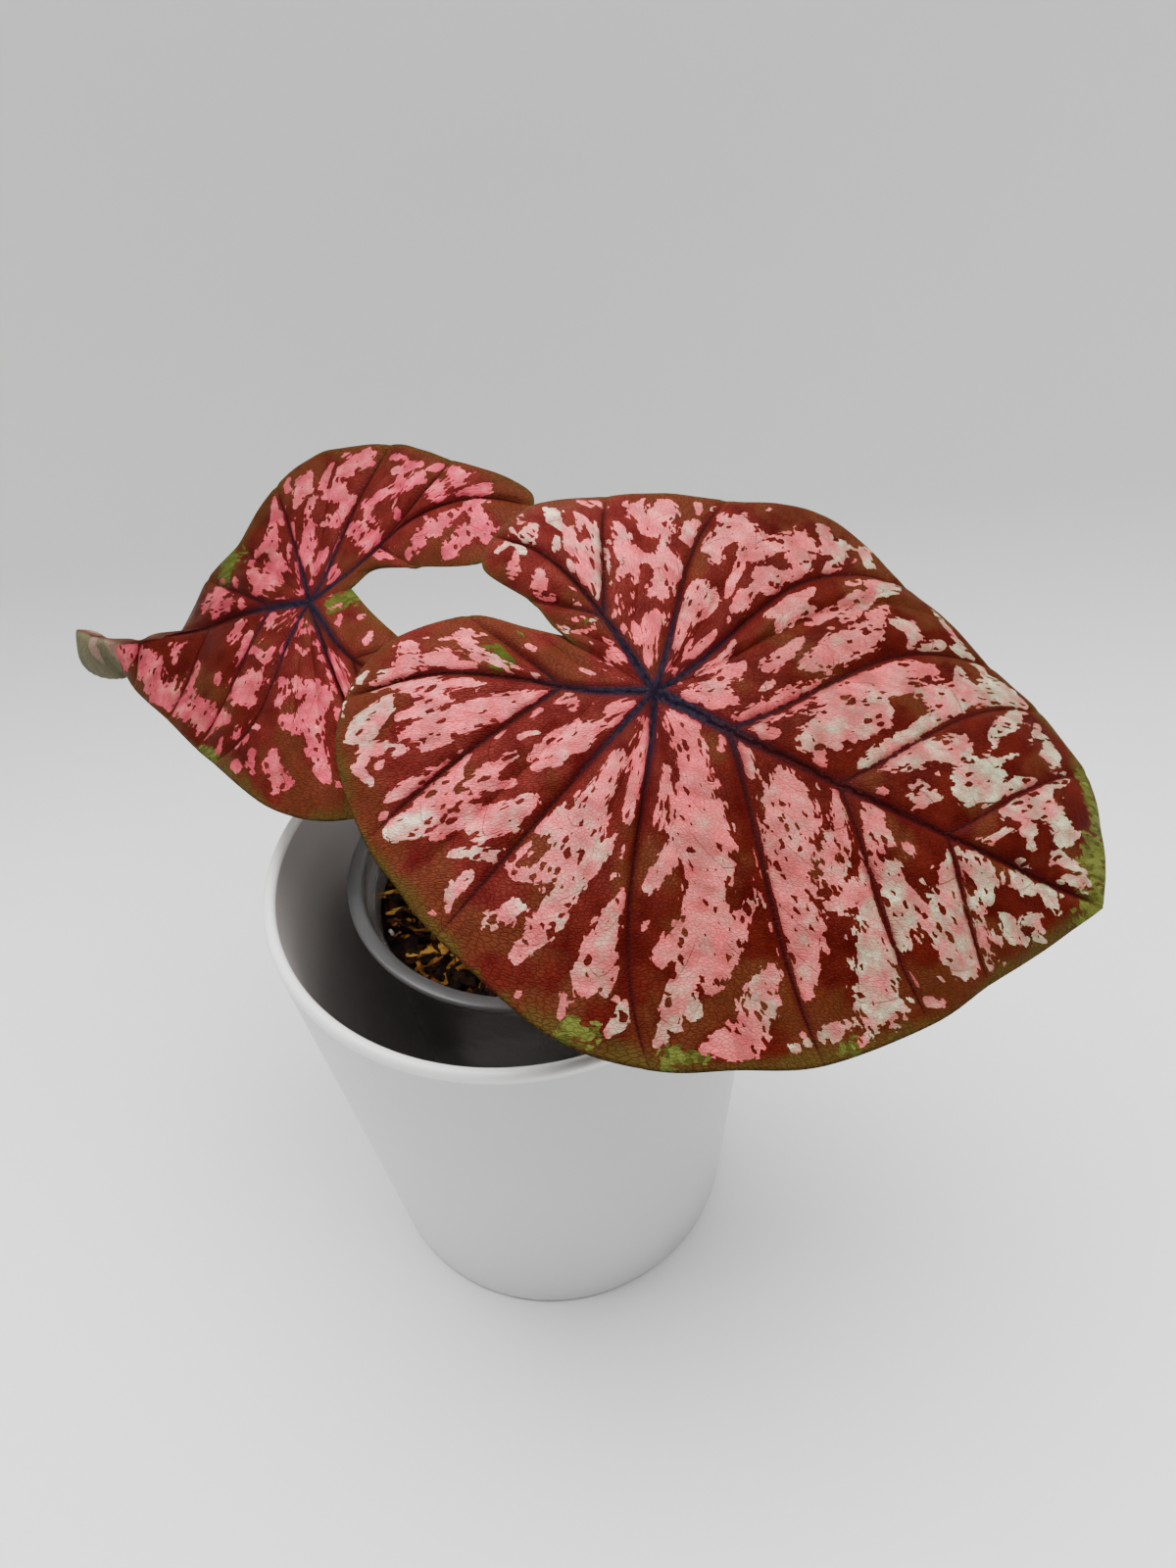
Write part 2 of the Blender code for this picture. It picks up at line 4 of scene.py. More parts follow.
import bpy
import numpy as np
from mathutils import Matrix, Vector, noise
from mathutils.geometry import interpolate_bezier


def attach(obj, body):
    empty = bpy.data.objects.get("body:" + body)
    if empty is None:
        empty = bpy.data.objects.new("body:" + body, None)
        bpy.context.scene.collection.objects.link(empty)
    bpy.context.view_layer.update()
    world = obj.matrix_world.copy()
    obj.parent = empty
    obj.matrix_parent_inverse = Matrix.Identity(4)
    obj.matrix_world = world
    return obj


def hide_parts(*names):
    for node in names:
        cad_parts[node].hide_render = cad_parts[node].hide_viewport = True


# A potted caladium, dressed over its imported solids: glazed cachepot, clear nursery pot, bark mix,
# tuber, two petioles and two variegated blades. Metres, +Z up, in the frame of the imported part.
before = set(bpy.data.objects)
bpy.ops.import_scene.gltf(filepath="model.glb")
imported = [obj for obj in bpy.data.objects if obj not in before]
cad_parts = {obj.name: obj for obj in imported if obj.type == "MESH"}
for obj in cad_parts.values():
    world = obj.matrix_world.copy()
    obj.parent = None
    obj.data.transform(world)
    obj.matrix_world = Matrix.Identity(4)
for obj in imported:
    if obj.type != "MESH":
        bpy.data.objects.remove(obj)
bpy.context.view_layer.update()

# Camera
# A wide phone-like lens held above the plant, looking down at about 44 degrees and turned a few
# degrees about its own axis. Its focal length is given in pixels of the 1200 by 1600 frame.
FRAME_HEIGHT_PIXELS = 1600
FOCAL_PIXELS = 1202
SENSOR_WIDTH = 36.0
CAMERA_PLACE = (0.0202, -0.2071, 0.3659)
CAMERA_PITCH = 43.77
CAMERA_ROLL = -4.73

camera_data = bpy.data.cameras.new("camera")
camera_data.sensor_width = SENSOR_WIDTH
camera_data.lens = SENSOR_WIDTH * FOCAL_PIXELS / FRAME_HEIGHT_PIXELS
camera_data.clip_start = 0.01
camera = bpy.data.objects.new("camera", camera_data)
bpy.context.scene.collection.objects.link(camera)
pitch = Matrix.Rotation(math.radians(90 - CAMERA_PITCH), 4, "X")
roll = Matrix.Rotation(math.radians(CAMERA_ROLL), 4, "Z")
camera.matrix_world = Matrix.Translation(CAMERA_PLACE) @ pitch @ roll
bpy.context.scene.camera = camera

# Table and backdrop
# One sheet of matt pale paper: flat under the pot, swept up in a soft curve behind it and hung as
# the wall. Its tone holds painted shade: darker up the wall and far in front of the pot. From
# behind or below it is clear, so that it never hides the plant. It is no part of the object.
MM = 0.001
SWEEP_WIDTH = 3.0
SWEEP_FRONT = -1.2
SWEEP_START = 0.105
SWEEP_RADIUS = 0.11
SWEEP_HEIGHT = 0.6
PAPER_LOW = (0.92, 0.93, 0.925)
# Painted shade: the wall's darker tone, the front's darker tone, and where the front one fades in.
PAPER_WALL_SHADE = (0.78, 0.79, 0.78)
PAPER_FRONT_SHADE = (0.60, 0.60, 0.60)
PAPER_FRONT_SHADE_SPAN = (0.3, 0.9)


class Finish:
    """One material's nodes. Each method adds a node or two and gives back its output socket."""

    def __init__(self, name, **shader_values):
        self.material = bpy.data.materials.new(name)
        self.material.use_nodes = True
        self.nodes = self.material.node_tree.nodes
        self.links = self.material.node_tree.links
        self.shader = self.nodes["Principled BSDF"]
        for key, value in shader_values.items():
            self.shader.inputs[key.replace("_", " ")].default_value = value

    def put(self, socket, value):
        """Links a socket, or sets a plain value."""
        if isinstance(value, bpy.types.NodeSocket):
            self.links.new(value, socket)
        elif value is not None:
            if socket.type == "RGBA" and len(value) == 3:
                value = (*value, 1.0)
            socket.default_value = value

    def paint(self, **values):
        for key, value in values.items():
            self.put(self.shader.inputs[key.replace("_", " ")], value)

    def place(self, stretch=None):
        """Object coordinates, stretched along each axis where asked."""
        out = self.nodes.new("ShaderNodeTexCoord").outputs["Object"]
        return self.vector("MULTIPLY", out, stretch) if stretch else out

    def vector(self, operation, a, b):
        made = self.nodes.new("ShaderNodeVectorMath")
        made.operation = operation
        self.put(made.inputs[0], a)
        self.put(made.inputs[1], b)
        return made.outputs["Vector"]

    def split(self, vector):
        """The three parts of a place or of another vector."""
        made = self.nodes.new("ShaderNodeSeparateXYZ")
        self.links.new(vector, made.inputs[0])
        return made.outputs[0], made.outputs[1], made.outputs[2]

    def field(self, name):
        """The three values that a vector attribute of the mesh holds."""
        made = self.nodes.new("ShaderNodeAttribute")
        made.attribute_name = name
        return self.split(made.outputs["Vector"])

    def join(self, x, y, z=0.0):
        made = self.nodes.new("ShaderNodeCombineXYZ")
        for socket, value in zip(made.inputs, (x, y, z)):
            self.put(socket, value)
        return made.outputs[0]

    def calc(self, operation, a, b=None, c=None):
        made = self.nodes.new("ShaderNodeMath")
        made.operation = operation
        for socket, value in zip(made.inputs, (a, b, c)):
            self.put(socket, value)
        return made.outputs[0]

    def vary(self, base, cloud, amount):
        """A value that a cloud moves up and down, by amount from end to end."""
        return self.calc("MULTIPLY_ADD", self.calc("SUBTRACT", cloud, 0.5), amount, base)

    def blend(self, first, second, share):
        """Two values in one, a share of it from the second."""
        rest = self.calc("MULTIPLY", first, 1 - share)
        return self.calc("ADD", rest, self.calc("MULTIPLY", second, share))

    def step(self, value, low, high, bottom=0.0, top=1.0):
        """A soft step: bottom where value is under low, top where it is over high."""
        made = self.nodes.new("ShaderNodeMapRange")
        made.interpolation_type = "SMOOTHSTEP"
        for socket, given in zip(made.inputs, (value, low, high, bottom, top)):
            self.put(socket, given)
        return made.outputs[0]

    def mix(self, factor, first, second, way="MIX"):
        """Blends two colours."""
        made = self.nodes.new("ShaderNodeMix")
        made.data_type = "RGBA"
        made.blend_type = way
        self.put(made.inputs["Factor"], factor)
        self.put(made.inputs[6], first)
        self.put(made.inputs[7], second)
        return made.outputs[2]

    def tint(self, colour, by):
        """A colour multiplied by another."""
        return self.mix(1.0, colour, by, "MULTIPLY")

    def cloud(self, scale, detail=2.0, where=None, size="3D"):
        """Soft noise from 0 to 1, mostly between 0.3 and 0.7."""
        made = self.nodes.new("ShaderNodeTexNoise")
        made.noise_dimensions = size
        made.inputs["Scale"].default_value = scale
        made.inputs["Detail"].default_value = detail
        self.put(made.inputs["Vector"], where or self.place())
        return made.outputs["Fac"]

    def cells(self, scale, where=None, size="3D", feature="F1"):
        """A Voronoi node, whose outputs are the distance, the cell's colour and its place."""
        made = self.nodes.new("ShaderNodeTexVoronoi")
        made.voronoi_dimensions = size
        made.feature = feature
        made.inputs["Scale"].default_value = scale
        self.put(made.inputs["Vector"], where or self.place())
        return made

    def channels(self, colour):
        """Red, green and blue, which in a cell's colour are three chances from 0 to 1."""
        made = self.nodes.new("ShaderNodeSeparateColor")
        self.links.new(colour, made.inputs[0])
        return made.outputs[0], made.outputs[1], made.outputs[2]

    def shade(self, factor, *stops):
        """A colour ramp through (position, colour) stops."""
        made = self.nodes.new("ShaderNodeValToRGB")
        ramp = made.color_ramp
        for stop, (position, colour) in zip(ramp.elements, (stops[0], stops[-1])):
            stop.position = position
            stop.color = (*colour, 1.0)
        for position, colour in stops[1:-1]:
            ramp.elements.new(position).color = (*colour, 1.0)
        self.put(made.inputs[0], factor)
        return made.outputs[0]

    def two_tone(self, cloud, dark, light):
        """A colour that a cloud moves between two tones."""
        return self.shade(cloud, (0.3, dark), (0.7, light))

    def bump(self, height, distance):
        """Relief from a height of 0 to 1, distance deep."""
        made = self.nodes.new("ShaderNodeBump")
        made.inputs["Distance"].default_value = distance
        self.put(made.inputs["Height"], height)
        return made.outputs[0]


def new_piece(name):
    """Names the primitive that was just added, the only object selected."""
    piece = bpy.context.active_object
    piece.name = name
    piece.data.name = name
    return piece


def drawn_line(name, points):
    """A plane merged to one point, which is moved to the first point and extruded to the others."""
    bpy.ops.object.select_all(action="DESELECT")
    bpy.ops.mesh.primitive_plane_add(size=MM)
    piece = new_piece(name)
    bpy.ops.object.mode_set(mode="EDIT")
    bpy.ops.mesh.select_mode(type="VERT")
    bpy.ops.mesh.select_all(action="SELECT")
    bpy.ops.mesh.merge(type="CENTER")
    bpy.ops.transform.translate(value=points[0])
    for before, after in zip(points, points[1:]):
        step = tuple(b - a for a, b in zip(before, after))
        bpy.ops.mesh.extrude_vertices_move(TRANSFORM_OT_translate={"value": step})
    return piece


def finish_mesh(sharp_degrees):
    """Merges doubles, turns the faces outwards, leaves edit mode and shades smooth."""
    bpy.ops.mesh.select_all(action="SELECT")
    bpy.ops.mesh.remove_doubles(threshold=0.00001)
    bpy.ops.mesh.normals_make_consistent(inside=False)
    bpy.ops.object.mode_set(mode="OBJECT")
    bpy.ops.object.shade_smooth_by_angle(angle=math.radians(sharp_degrees))


def arc(centre, radius, start, end, steps):
    """Points of a round stretch of an outline, angles in degrees."""
    for i in range(steps + 1):
        angle = math.radians(start + (end - start) * i / steps)
        yield (centre[0] + radius * math.cos(angle), centre[1] + radius * math.sin(angle))


side = [(SWEEP_FRONT, 0.0)]
side += arc((SWEEP_START, SWEEP_RADIUS), SWEEP_RADIUS, -90, 0, 32)
side += [(SWEEP_START + SWEEP_RADIUS, SWEEP_HEIGHT)]
backdrop = drawn_line("backdrop", [(-SWEEP_WIDTH / 2, y, z) for y, z in side])
bpy.ops.mesh.select_all(action="SELECT")
bpy.ops.mesh.extrude_edges_move(TRANSFORM_OT_translate={"value": (SWEEP_WIDTH, 0, 0)})
finish_mesh(60)
backdrop.data.flip_normals()
paper = Finish("matt_paper", Roughness=0.62)
away, height = paper.split(paper.place())[1:]
towards = paper.calc("ABSOLUTE", paper.calc("MINIMUM", away, 0.0))
# Painted shade: the paper turns darker up the wall.
tone = paper.mix(paper.step(height, 0.0, SWEEP_RADIUS), PAPER_LOW, PAPER_WALL_SHADE)
# Painted shade: the floor turns darker far in front of the pot.
tone = paper.mix(paper.step(towards, *PAPER_FRONT_SHADE_SPAN), tone, PAPER_FRONT_SHADE)
behind = paper.nodes.new("ShaderNodeNewGeometry").outputs["Backfacing"]
paper.paint(Base_Color=tone, Alpha=paper.calc("SUBTRACT", 1.0, behind))
paper.paint(Normal=paper.bump(paper.cloud(900.0), 0.00003))
backdrop.data.materials.append(paper.material)

# Studio light
# A pale room, one very wide soft box overhead and a little behind the plant, and a weak one on
# each side: even light from above, with wide soft shadows round the foot and a shaded pot front.
ROOM_LIGHT = (0.93, 0.97, 1.0, 1.0)
ROOM_STRENGTH = 0.13
SOFT_BOXES = (
    # name, place, size, power, colour
    ("overhead_box", (0.06, 0.34, 1.25), 1.6, 72.0, (1.0, 1.0, 0.99)),
    ("left_box", (-1.4, 0.0, 0.6), 0.9, 2.5, (0.97, 0.99, 1.0)),
    ("right_box", (1.4, 0.0, 0.6), 0.9, 2.5, (1.0, 0.99, 0.97)),
)
AIMED_AT = Vector((0.0, 0.03, 0.12))

room = bpy.data.worlds.new("room")
room.use_nodes = True
room.node_tree.nodes["Background"].inputs["Color"].default_value = ROOM_LIGHT
room.node_tree.nodes["Background"].inputs["Strength"].default_value = ROOM_STRENGTH
bpy.context.scene.world = room
for name, spot, size, power, colour in SOFT_BOXES:
    lamp = bpy.data.lights.new(name, "AREA")
    lamp.size = size
    lamp.energy = power
    lamp.color = colour
    box = bpy.data.objects.new(name, lamp)
    box.location = spot
    box.rotation_euler = (AIMED_AT - Vector(spot)).to_track_quat("-Z", "Y").to_euler()
    bpy.context.scene.collection.objects.link(box)

# Cachepot
# The outer pot is slip-cast earthenware with a straight tapered wall, glazed white satin. Its lip
# is painted whiter as a painted highlight, its inside darker as painted shade, and its flat foot
# was wiped before firing: bare clay.
POT_RIM_RADIUS = 65.0 * MM
POT_FOOT_RADIUS = 54.6 * MM
POT_HEIGHT = 143.6 * MM
POT_WALL = 3.2 * MM
POT_FLOOR = 6.0 * MM
POT_FOOT_ROUNDING = 2.5 * MM
POT_CORNER = 4.0 * MM
POT_SEGMENTS = 160
GLAZE = (0.655, 0.66, 0.655)
# Painted highlight on the lip: its whiter tone, how far down it reaches and how soft its edge is.
LIP_PAINTED_HIGHLIGHT = (0.93, 0.91, 0.90)
LIP_HIGHLIGHT_DEPTH = 3.4 * MM
LIP_HIGHLIGHT_FADE = 1.2 * MM
# Painted shade: the inside's tone, darker than the glaze outside.
INNER_PAINTED_SHADE = (0.56, 0.525, 0.515)
CLAY = (0.56, 0.50, 0.44)
# How far the wall leans out of plumb, in degrees.
WALL_LEAN = 4.0


def turned_piece(name, outline, segments):
    """Spins an outline of (radius, height) about the vertical axis."""
    piece = drawn_line(name, [(r, 0, z) for r, z in outline])
    bpy.ops.mesh.select_all(action="SELECT")
    bpy.ops.mesh.spin(steps=segments, angle=2 * math.pi, center=(0, 0, 0), axis=(0, 0, 1))
    finish_mesh(40)
    return piece


def dimmed(tone, share):
    """A tone with each of its channels cut to a share."""
    return tuple(channel * share for channel in tone)


half_wall = POT_WALL / 2
pot_slope = (POT_RIM_RADIUS - POT_FOOT_RADIUS) / POT_HEIGHT
inner_floor = POT_FOOT_RADIUS + pot_slope * POT_FLOOR - POT_WALL
foot_centre = (POT_FOOT_RADIUS - POT_FOOT_ROUNDING, POT_FOOT_ROUNDING)
lip_centre = (POT_RIM_RADIUS - half_wall, POT_HEIGHT - half_wall)
outline = [(0, 0)]
outline += arc(foot_centre, POT_FOOT_ROUNDING, -90, -WALL_LEAN, 10)
outline += arc(lip_centre, half_wall, -WALL_LEAN, 180 - WALL_LEAN, 18)
outline += arc((inner_floor - POT_CORNER, POT_FLOOR + POT_CORNER), POT_CORNER, -WALL_LEAN, -90, 10)
outline.append((0, POT_FLOOR))
cachepot = turned_piece("glazed_cachepot", outline, POT_SEGMENTS)

coats = []
# The outer coat with the lip's painted highlight, and the inner coat in painted shade.
for name, tone, lip_highlight, rough in (
    ("white_satin_glaze_with_lip_highlight", GLAZE, LIP_PAINTED_HIGHLIGHT, 0.3),
    ("inner_glaze_painted_shade", INNER_PAINTED_SHADE, INNER_PAINTED_SHADE, 0.45),
):
    glaze = Finish(name, Roughness=rough)
    pooling = glaze.cloud(24.0, 3.0)
    height = glaze.split(glaze.place())[2]
    lip_highlight_start = POT_HEIGHT - LIP_HIGHLIGHT_DEPTH
    # Where the painted highlight whitens the glaze near the top of the lip.
    lip_highlight_mask = glaze.step(height, lip_highlight_start, lip_highlight_start + LIP_HIGHLIGHT_FADE)
    wall = glaze.two_tone(pooling, dimmed(tone, 0.96), tone)
    glaze.paint(
        Base_Color=glaze.mix(lip_highlight_mask, wall, lip_highlight),
        Roughness=glaze.step(pooling, 0.3, 0.7, rough, rough + 0.06),
        Normal=glaze.bump(glaze.cloud(260.0), 0.00004),
    )
    coats.append(glaze)
clay = Finish("bare_clay_foot", Roughness=0.85)
grit = clay.cloud(1400.0, 4.0)
clay.paint(Base_Color=clay.two_tone(grit, dimmed(CLAY, 0.75), CLAY))
clay.paint(Normal=clay.bump(grit, 0.0002))
for finish in (*coats, clay):
    cachepot.data.materials.append(finish.material)
# Faces inside the pot take the coat in painted shade, and the foot takes the bare clay.
for face in cachepot.data.polygons:
    out = math.hypot(face.center.x, face.center.y)
    within = out < POT_FOOT_RADIUS + pot_slope * face.center.z - 0.8 * POT_WALL
    if face.center.z < 0.1 * MM:
        face.material_index = 2
    elif within and face.center.z < POT_HEIGHT - POT_WALL:
        face.material_index = 1
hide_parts("cachepot")
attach(cachepot, "root")

# Nursery pot
# A thin blow-moulded pot of clear, slightly smoky plastic, standing off centre in the cachepot:
# flat rolled rim, collar and shoulder, six drain holes. The plastic is milky at the thick rim.
GAP = 0.3 * MM
NURSERY_CENTRE = Vector((2.1, 10.5, 0)) * MM
NURSERY_RIM = 49.0 * MM
NURSERY_COLLAR = 45.6 * MM
NURSERY_SHOULDER = 43.6 * MM
NURSERY_FOOT = 33.0 * MM
NURSERY_HEIGHT = 124.7 * MM
NURSERY_WALL = 0.9 * MM
RIM_DEPTH = 3.2 * MM
COLLAR_DEPTH = 8.0 * MM
RIM_EDGE = 0.9 * MM
RIM_ROLL = 1.3 * MM
RIM_CORNER = 0.4 * MM
NURSERY_ROUNDING = 1.5 * MM
NURSERY_FLOOR_CORNER = 2.4 * MM
# The soft step from the wall out to the collar: (out, up) from the shoulder, in millimetres.
SHOULDER_OUTSIDE = ((0.0, -0.6), (0.5, 0.0), (1.6, 1.0), (2.0, 1.6))
SHOULDER_INSIDE = (1.8, 0.2)
DRAIN_HOLES = 6
DRAIN_RADIUS = 4.0 * MM
DRAIN_CIRCLE = 22.0 * MM
DRAIN_CORNERS = 32
MILKY = (0.27, 0.27, 0.28)
CLEAR = (0.74, 0.69, 0.66)

nursery_floor = POT_FLOOR + GAP
shoulder = NURSERY_HEIGHT - COLLAR_DEPTH
collar = NURSERY_HEIGHT - RIM_DEPTH


def nursery_radius(height):
    """Outer radius of the tapered wall at a height above the nursery pot's foot."""
    return NURSERY_FOOT + (NURSERY_SHOULDER - NURSERY_FOOT) * height / shoulder


inside = NURSERY_COLLAR - NURSERY_WALL
outline = [(0, 0)]
foot_centre = (NURSERY_FOOT - NURSERY_ROUNDING, NURSERY_ROUNDING)
outline += arc(foot_centre, NURSERY_ROUNDING, -90, -5, 5)
outline += [(nursery_radius(shoulder / 2), shoulder / 2)]
outline += [(NURSERY_SHOULDER + out * MM, shoulder + up * MM) for out, up in SHOULDER_OUTSIDE]
outline += [(NURSERY_COLLAR, collar - RIM_CORNER), (NURSERY_COLLAR + RIM_CORNER, collar)]
outline += arc((NURSERY_RIM - RIM_EDGE, NURSERY_HEIGHT - RIM_EDGE), RIM_EDGE, -60, 90, 8)
outline += arc((inside + RIM_ROLL, NURSERY_HEIGHT - RIM_ROLL), RIM_ROLL, 90, 180, 6)
outline += [(inside, shoulder + SHOULDER_INSIDE[0] * MM)]
outline += [(NURSERY_SHOULDER - NURSERY_WALL, shoulder + SHOULDER_INSIDE[1] * MM)]
outline += [(nursery_radius(NURSERY_FLOOR_CORNER) - NURSERY_WALL, NURSERY_FLOOR_CORNER)]
outline += [(NURSERY_FOOT - NURSERY_FLOOR_CORNER, NURSERY_WALL), (0, NURSERY_WALL)]
nursery = turned_piece("clear_nursery_pot", outline, 128)
for i in range(DRAIN_HOLES):
    angle = 2 * math.pi * i / DRAIN_HOLES
    centre = (DRAIN_CIRCLE * math.cos(angle), DRAIN_CIRCLE * math.sin(angle), 0)
    bpy.ops.object.select_all(action="DESELECT")
    # Turned by half a side, which keeps its corners off the edges of the pot's floor.
    bpy.ops.mesh.primitive_cylinder_add(
        vertices=DRAIN_CORNERS,
        radius=DRAIN_RADIUS,
        depth=6 * NURSERY_WALL,
        location=centre,
        rotation=(0, 0, math.pi / DRAIN_CORNERS),
    )
    punch = new_piece("punch")
    hole = nursery.modifiers.new("hole", "BOOLEAN")
    hole.object = punch
    bpy.context.view_layer.objects.active = nursery
    bpy.ops.object.modifier_apply(modifier=hole.name)
    bpy.data.objects.remove(punch, do_unlink=True)
nursery.data.transform(Matrix.Translation(NURSERY_CENTRE + Vector((0, 0, nursery_floor))))

for name, tone, rough, clearness, shine in (
    ("clear_plastic", CLEAR, 0.14, 0.95, 0.25),
    ("milky_plastic_rim", MILKY, 0.32, 0.75, 0.5),
):
    plastic = Finish(name, Roughness=rough, IOR=1.46)
    plastic.paint(Transmission_Weight=clearness, Specular_IOR_Level=shine)
    flow = plastic.cloud(70.0)
    plastic.paint(Base_Color=plastic.two_tone(flow, dimmed(tone, 0.92), tone))
    plastic.paint(Normal=plastic.bump(flow, 0.0003))
    nursery.data.materials.append(plastic.material)
for face in nursery.data.polygons:
    face.material_index = 1 if face.center.z > nursery_floor + collar - 0.2 * MM else 0
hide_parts("nursery_pot")
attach(nursery, "root")

# Potting mix
# Coarse bark mix, as for orchids: a dark crumbly body that fills the nursery pot to below its rim,
# with a pit for the tuber and an uneven top. Its near-black tone is partly dark bark, partly
# painted shade.
SOIL_TOP = 118.5 * MM
SOIL_RELIEF = 1.6 * MM
HUMP_SIZE = 9 * MM
LUMP_SIZE = 4 * MM
CRUMB_RELIEF = 0.6 * MM
CRUMB_SIZE = 1.3 * MM
SOIL_CORNER = 2 * MM
SOIL_RING = 0.7 * MM
PIT_STEPS = 8
TUBER_RADIUS = 13.0 * MM
TUBER_HEIGHT = 20.0 * MM
TUBER_SHOWS = 3.0 * MM
# A round tuber has 1, and a lower value fills it out at top and bottom.
TUBER_ROUNDNESS = 0.8


def soil_height(x, y):
    """Height of the uneven top of the mix, x and y from the nursery pot's axis."""
    humps = noise.noise(Vector((x / HUMP_SIZE, y / HUMP_SIZE, 3.0)))
    lumps = noise.noise(Vector((x / LUMP_SIZE, y / LUMP_SIZE, 7.0)))
    return SOIL_TOP + SOIL_RELIEF * (humps + 0.5 * lumps)


tuber_centre = SOIL_TOP + TUBER_SHOWS - TUBER_HEIGHT / 2
pit = TUBER_RADIUS + GAP
soil_floor = nursery_floor + NURSERY_WALL + GAP
soil_foot = nursery_radius(3 * MM) - NURSERY_WALL - GAP
soil_edge = nursery_radius(SOIL_TOP - nursery_floor) - NURSERY_WALL - GAP
outline = [(0, soil_floor), (soil_foot - SOIL_CORNER, soil_floor)]
outline += [(soil_foot, soil_floor + SOIL_CORNER), (soil_edge, SOIL_TOP)]
rings = int((soil_edge - pit) / SOIL_RING)
outline += [(soil_edge + (pit - soil_edge) * (i + 1) / rings, SOIL_TOP) for i in range(rings)]
for i in range(PIT_STEPS):
    angle = math.pi / 2 * (1 + i / PIT_STEPS)
    rise = (TUBER_HEIGHT / 2 + GAP) * math.cos(angle)
    outline.append((pit * math.sin(angle) ** TUBER_ROUNDNESS, tuber_centre + rise))
outline.append((0, tuber_centre - TUBER_HEIGHT / 2 - GAP))
soil = turned_piece("bark_mix_body", outline, 160)
for vertex in soil.data.vertices:
    if abs(vertex.co.z - SOIL_TOP) < 0.01 * MM:
        x, y = vertex.co.x, vertex.co.y
        crumb = noise.noise(Vector((x / CRUMB_SIZE, y / CRUMB_SIZE, 1.0)))
        vertex.co.z = soil_height(x, y) + CRUMB_RELIEF * crumb
soil.data.transform(Matrix.Translation(NURSERY_CENTRE))


def rough_finish(name, stops, scale, roughness, relief):
    """A matt, mottled surface: cells of a few browns, broken up by noise."""
    made = Finish(name, Roughness=roughness, Specular_IOR_Level=0.15)
    patchy = made.channels(made.cells(scale).outputs["Color"])[0]
    grain = made.cloud(scale * 2.5, 6.0)
    mixed = made.blend(patchy, grain, 0.45)
    spread = [(0.25 + 0.5 * i / (len(stops) - 1), stop) for i, stop in enumerate(stops)]
    made.paint(Base_Color=made.shade(mixed, *spread), Normal=made.bump(grain, relief))
    return made.material


# Near black: partly the bark's own dark tone and partly painted shade.
DARK_CRUMB_AND_SHADE = ((0.001, 0.0006, 0.0005), (0.005, 0.002, 0.001), (0.018, 0.007, 0.003))
soil.data.materials.append(rough_finish("dark_crumb_and_painted_shade", DARK_CRUMB_AND_SHADE, 420.0, 0.9, 0.0006))
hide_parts("potting_mix")
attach(soil, "root")

# Bark chips, straw strips and grains
# Loose pieces on the mix. One of each kind is modelled from a cube with a cut across each side and
# bevelled edges; its copies are bent, sized and tipped by a seeded draw, and joined by kind.
CHIP_SEED = 11
CHIP_BEVEL = 0.09
CHIP_UNEVENNESS = 0.13
CHIP_BEND = 1.5
CHIP_PITCH = 0.5
CHIP_TILT = 0.9
CHIP_LIFT = (0.1, 1.3)
# 0.5 would lay them evenly over the top, and a higher value brings them in towards the tuber.
CHIP_SPREAD = 0.75
CHIP_KINDS = (
    # name, count, lengths, widths, depths, lean, tones
    # The dark chips' near-black tones are partly their own and partly painted shade.
    ("dark_bark_chips_and_painted_shade", 420, (3.5, 9.0), (1.8, 4.2), (0.8, 1.8), 0.55,
     ((0.003, 0.001, 0.001), (0.010, 0.004, 0.002), (0.040, 0.013, 0.004))),
    ("orange_bark_chips", 170, (3.0, 9.5), (1.4, 4.0), (0.6, 1.4), 0.6,
     ((0.06, 0.018, 0.003), (0.19, 0.065, 0.012), (0.36, 0.15, 0.030))),
    ("straw_strips", 90, (8.0, 23.0), (1.2, 3.2), (0.4, 0.8), 0.3,
     ((0.17, 0.055, 0.006), (0.38, 0.16, 0.024), (0.56, 0.29, 0.062))),
    ("pale_grains", 46, (1.0, 2.2), (0.9, 1.8), (0.8, 1.5), 1.0,
     ((0.30, 0.26, 0.20), (0.60, 0.56, 0.48), (0.76, 0.73, 0.66))),
)

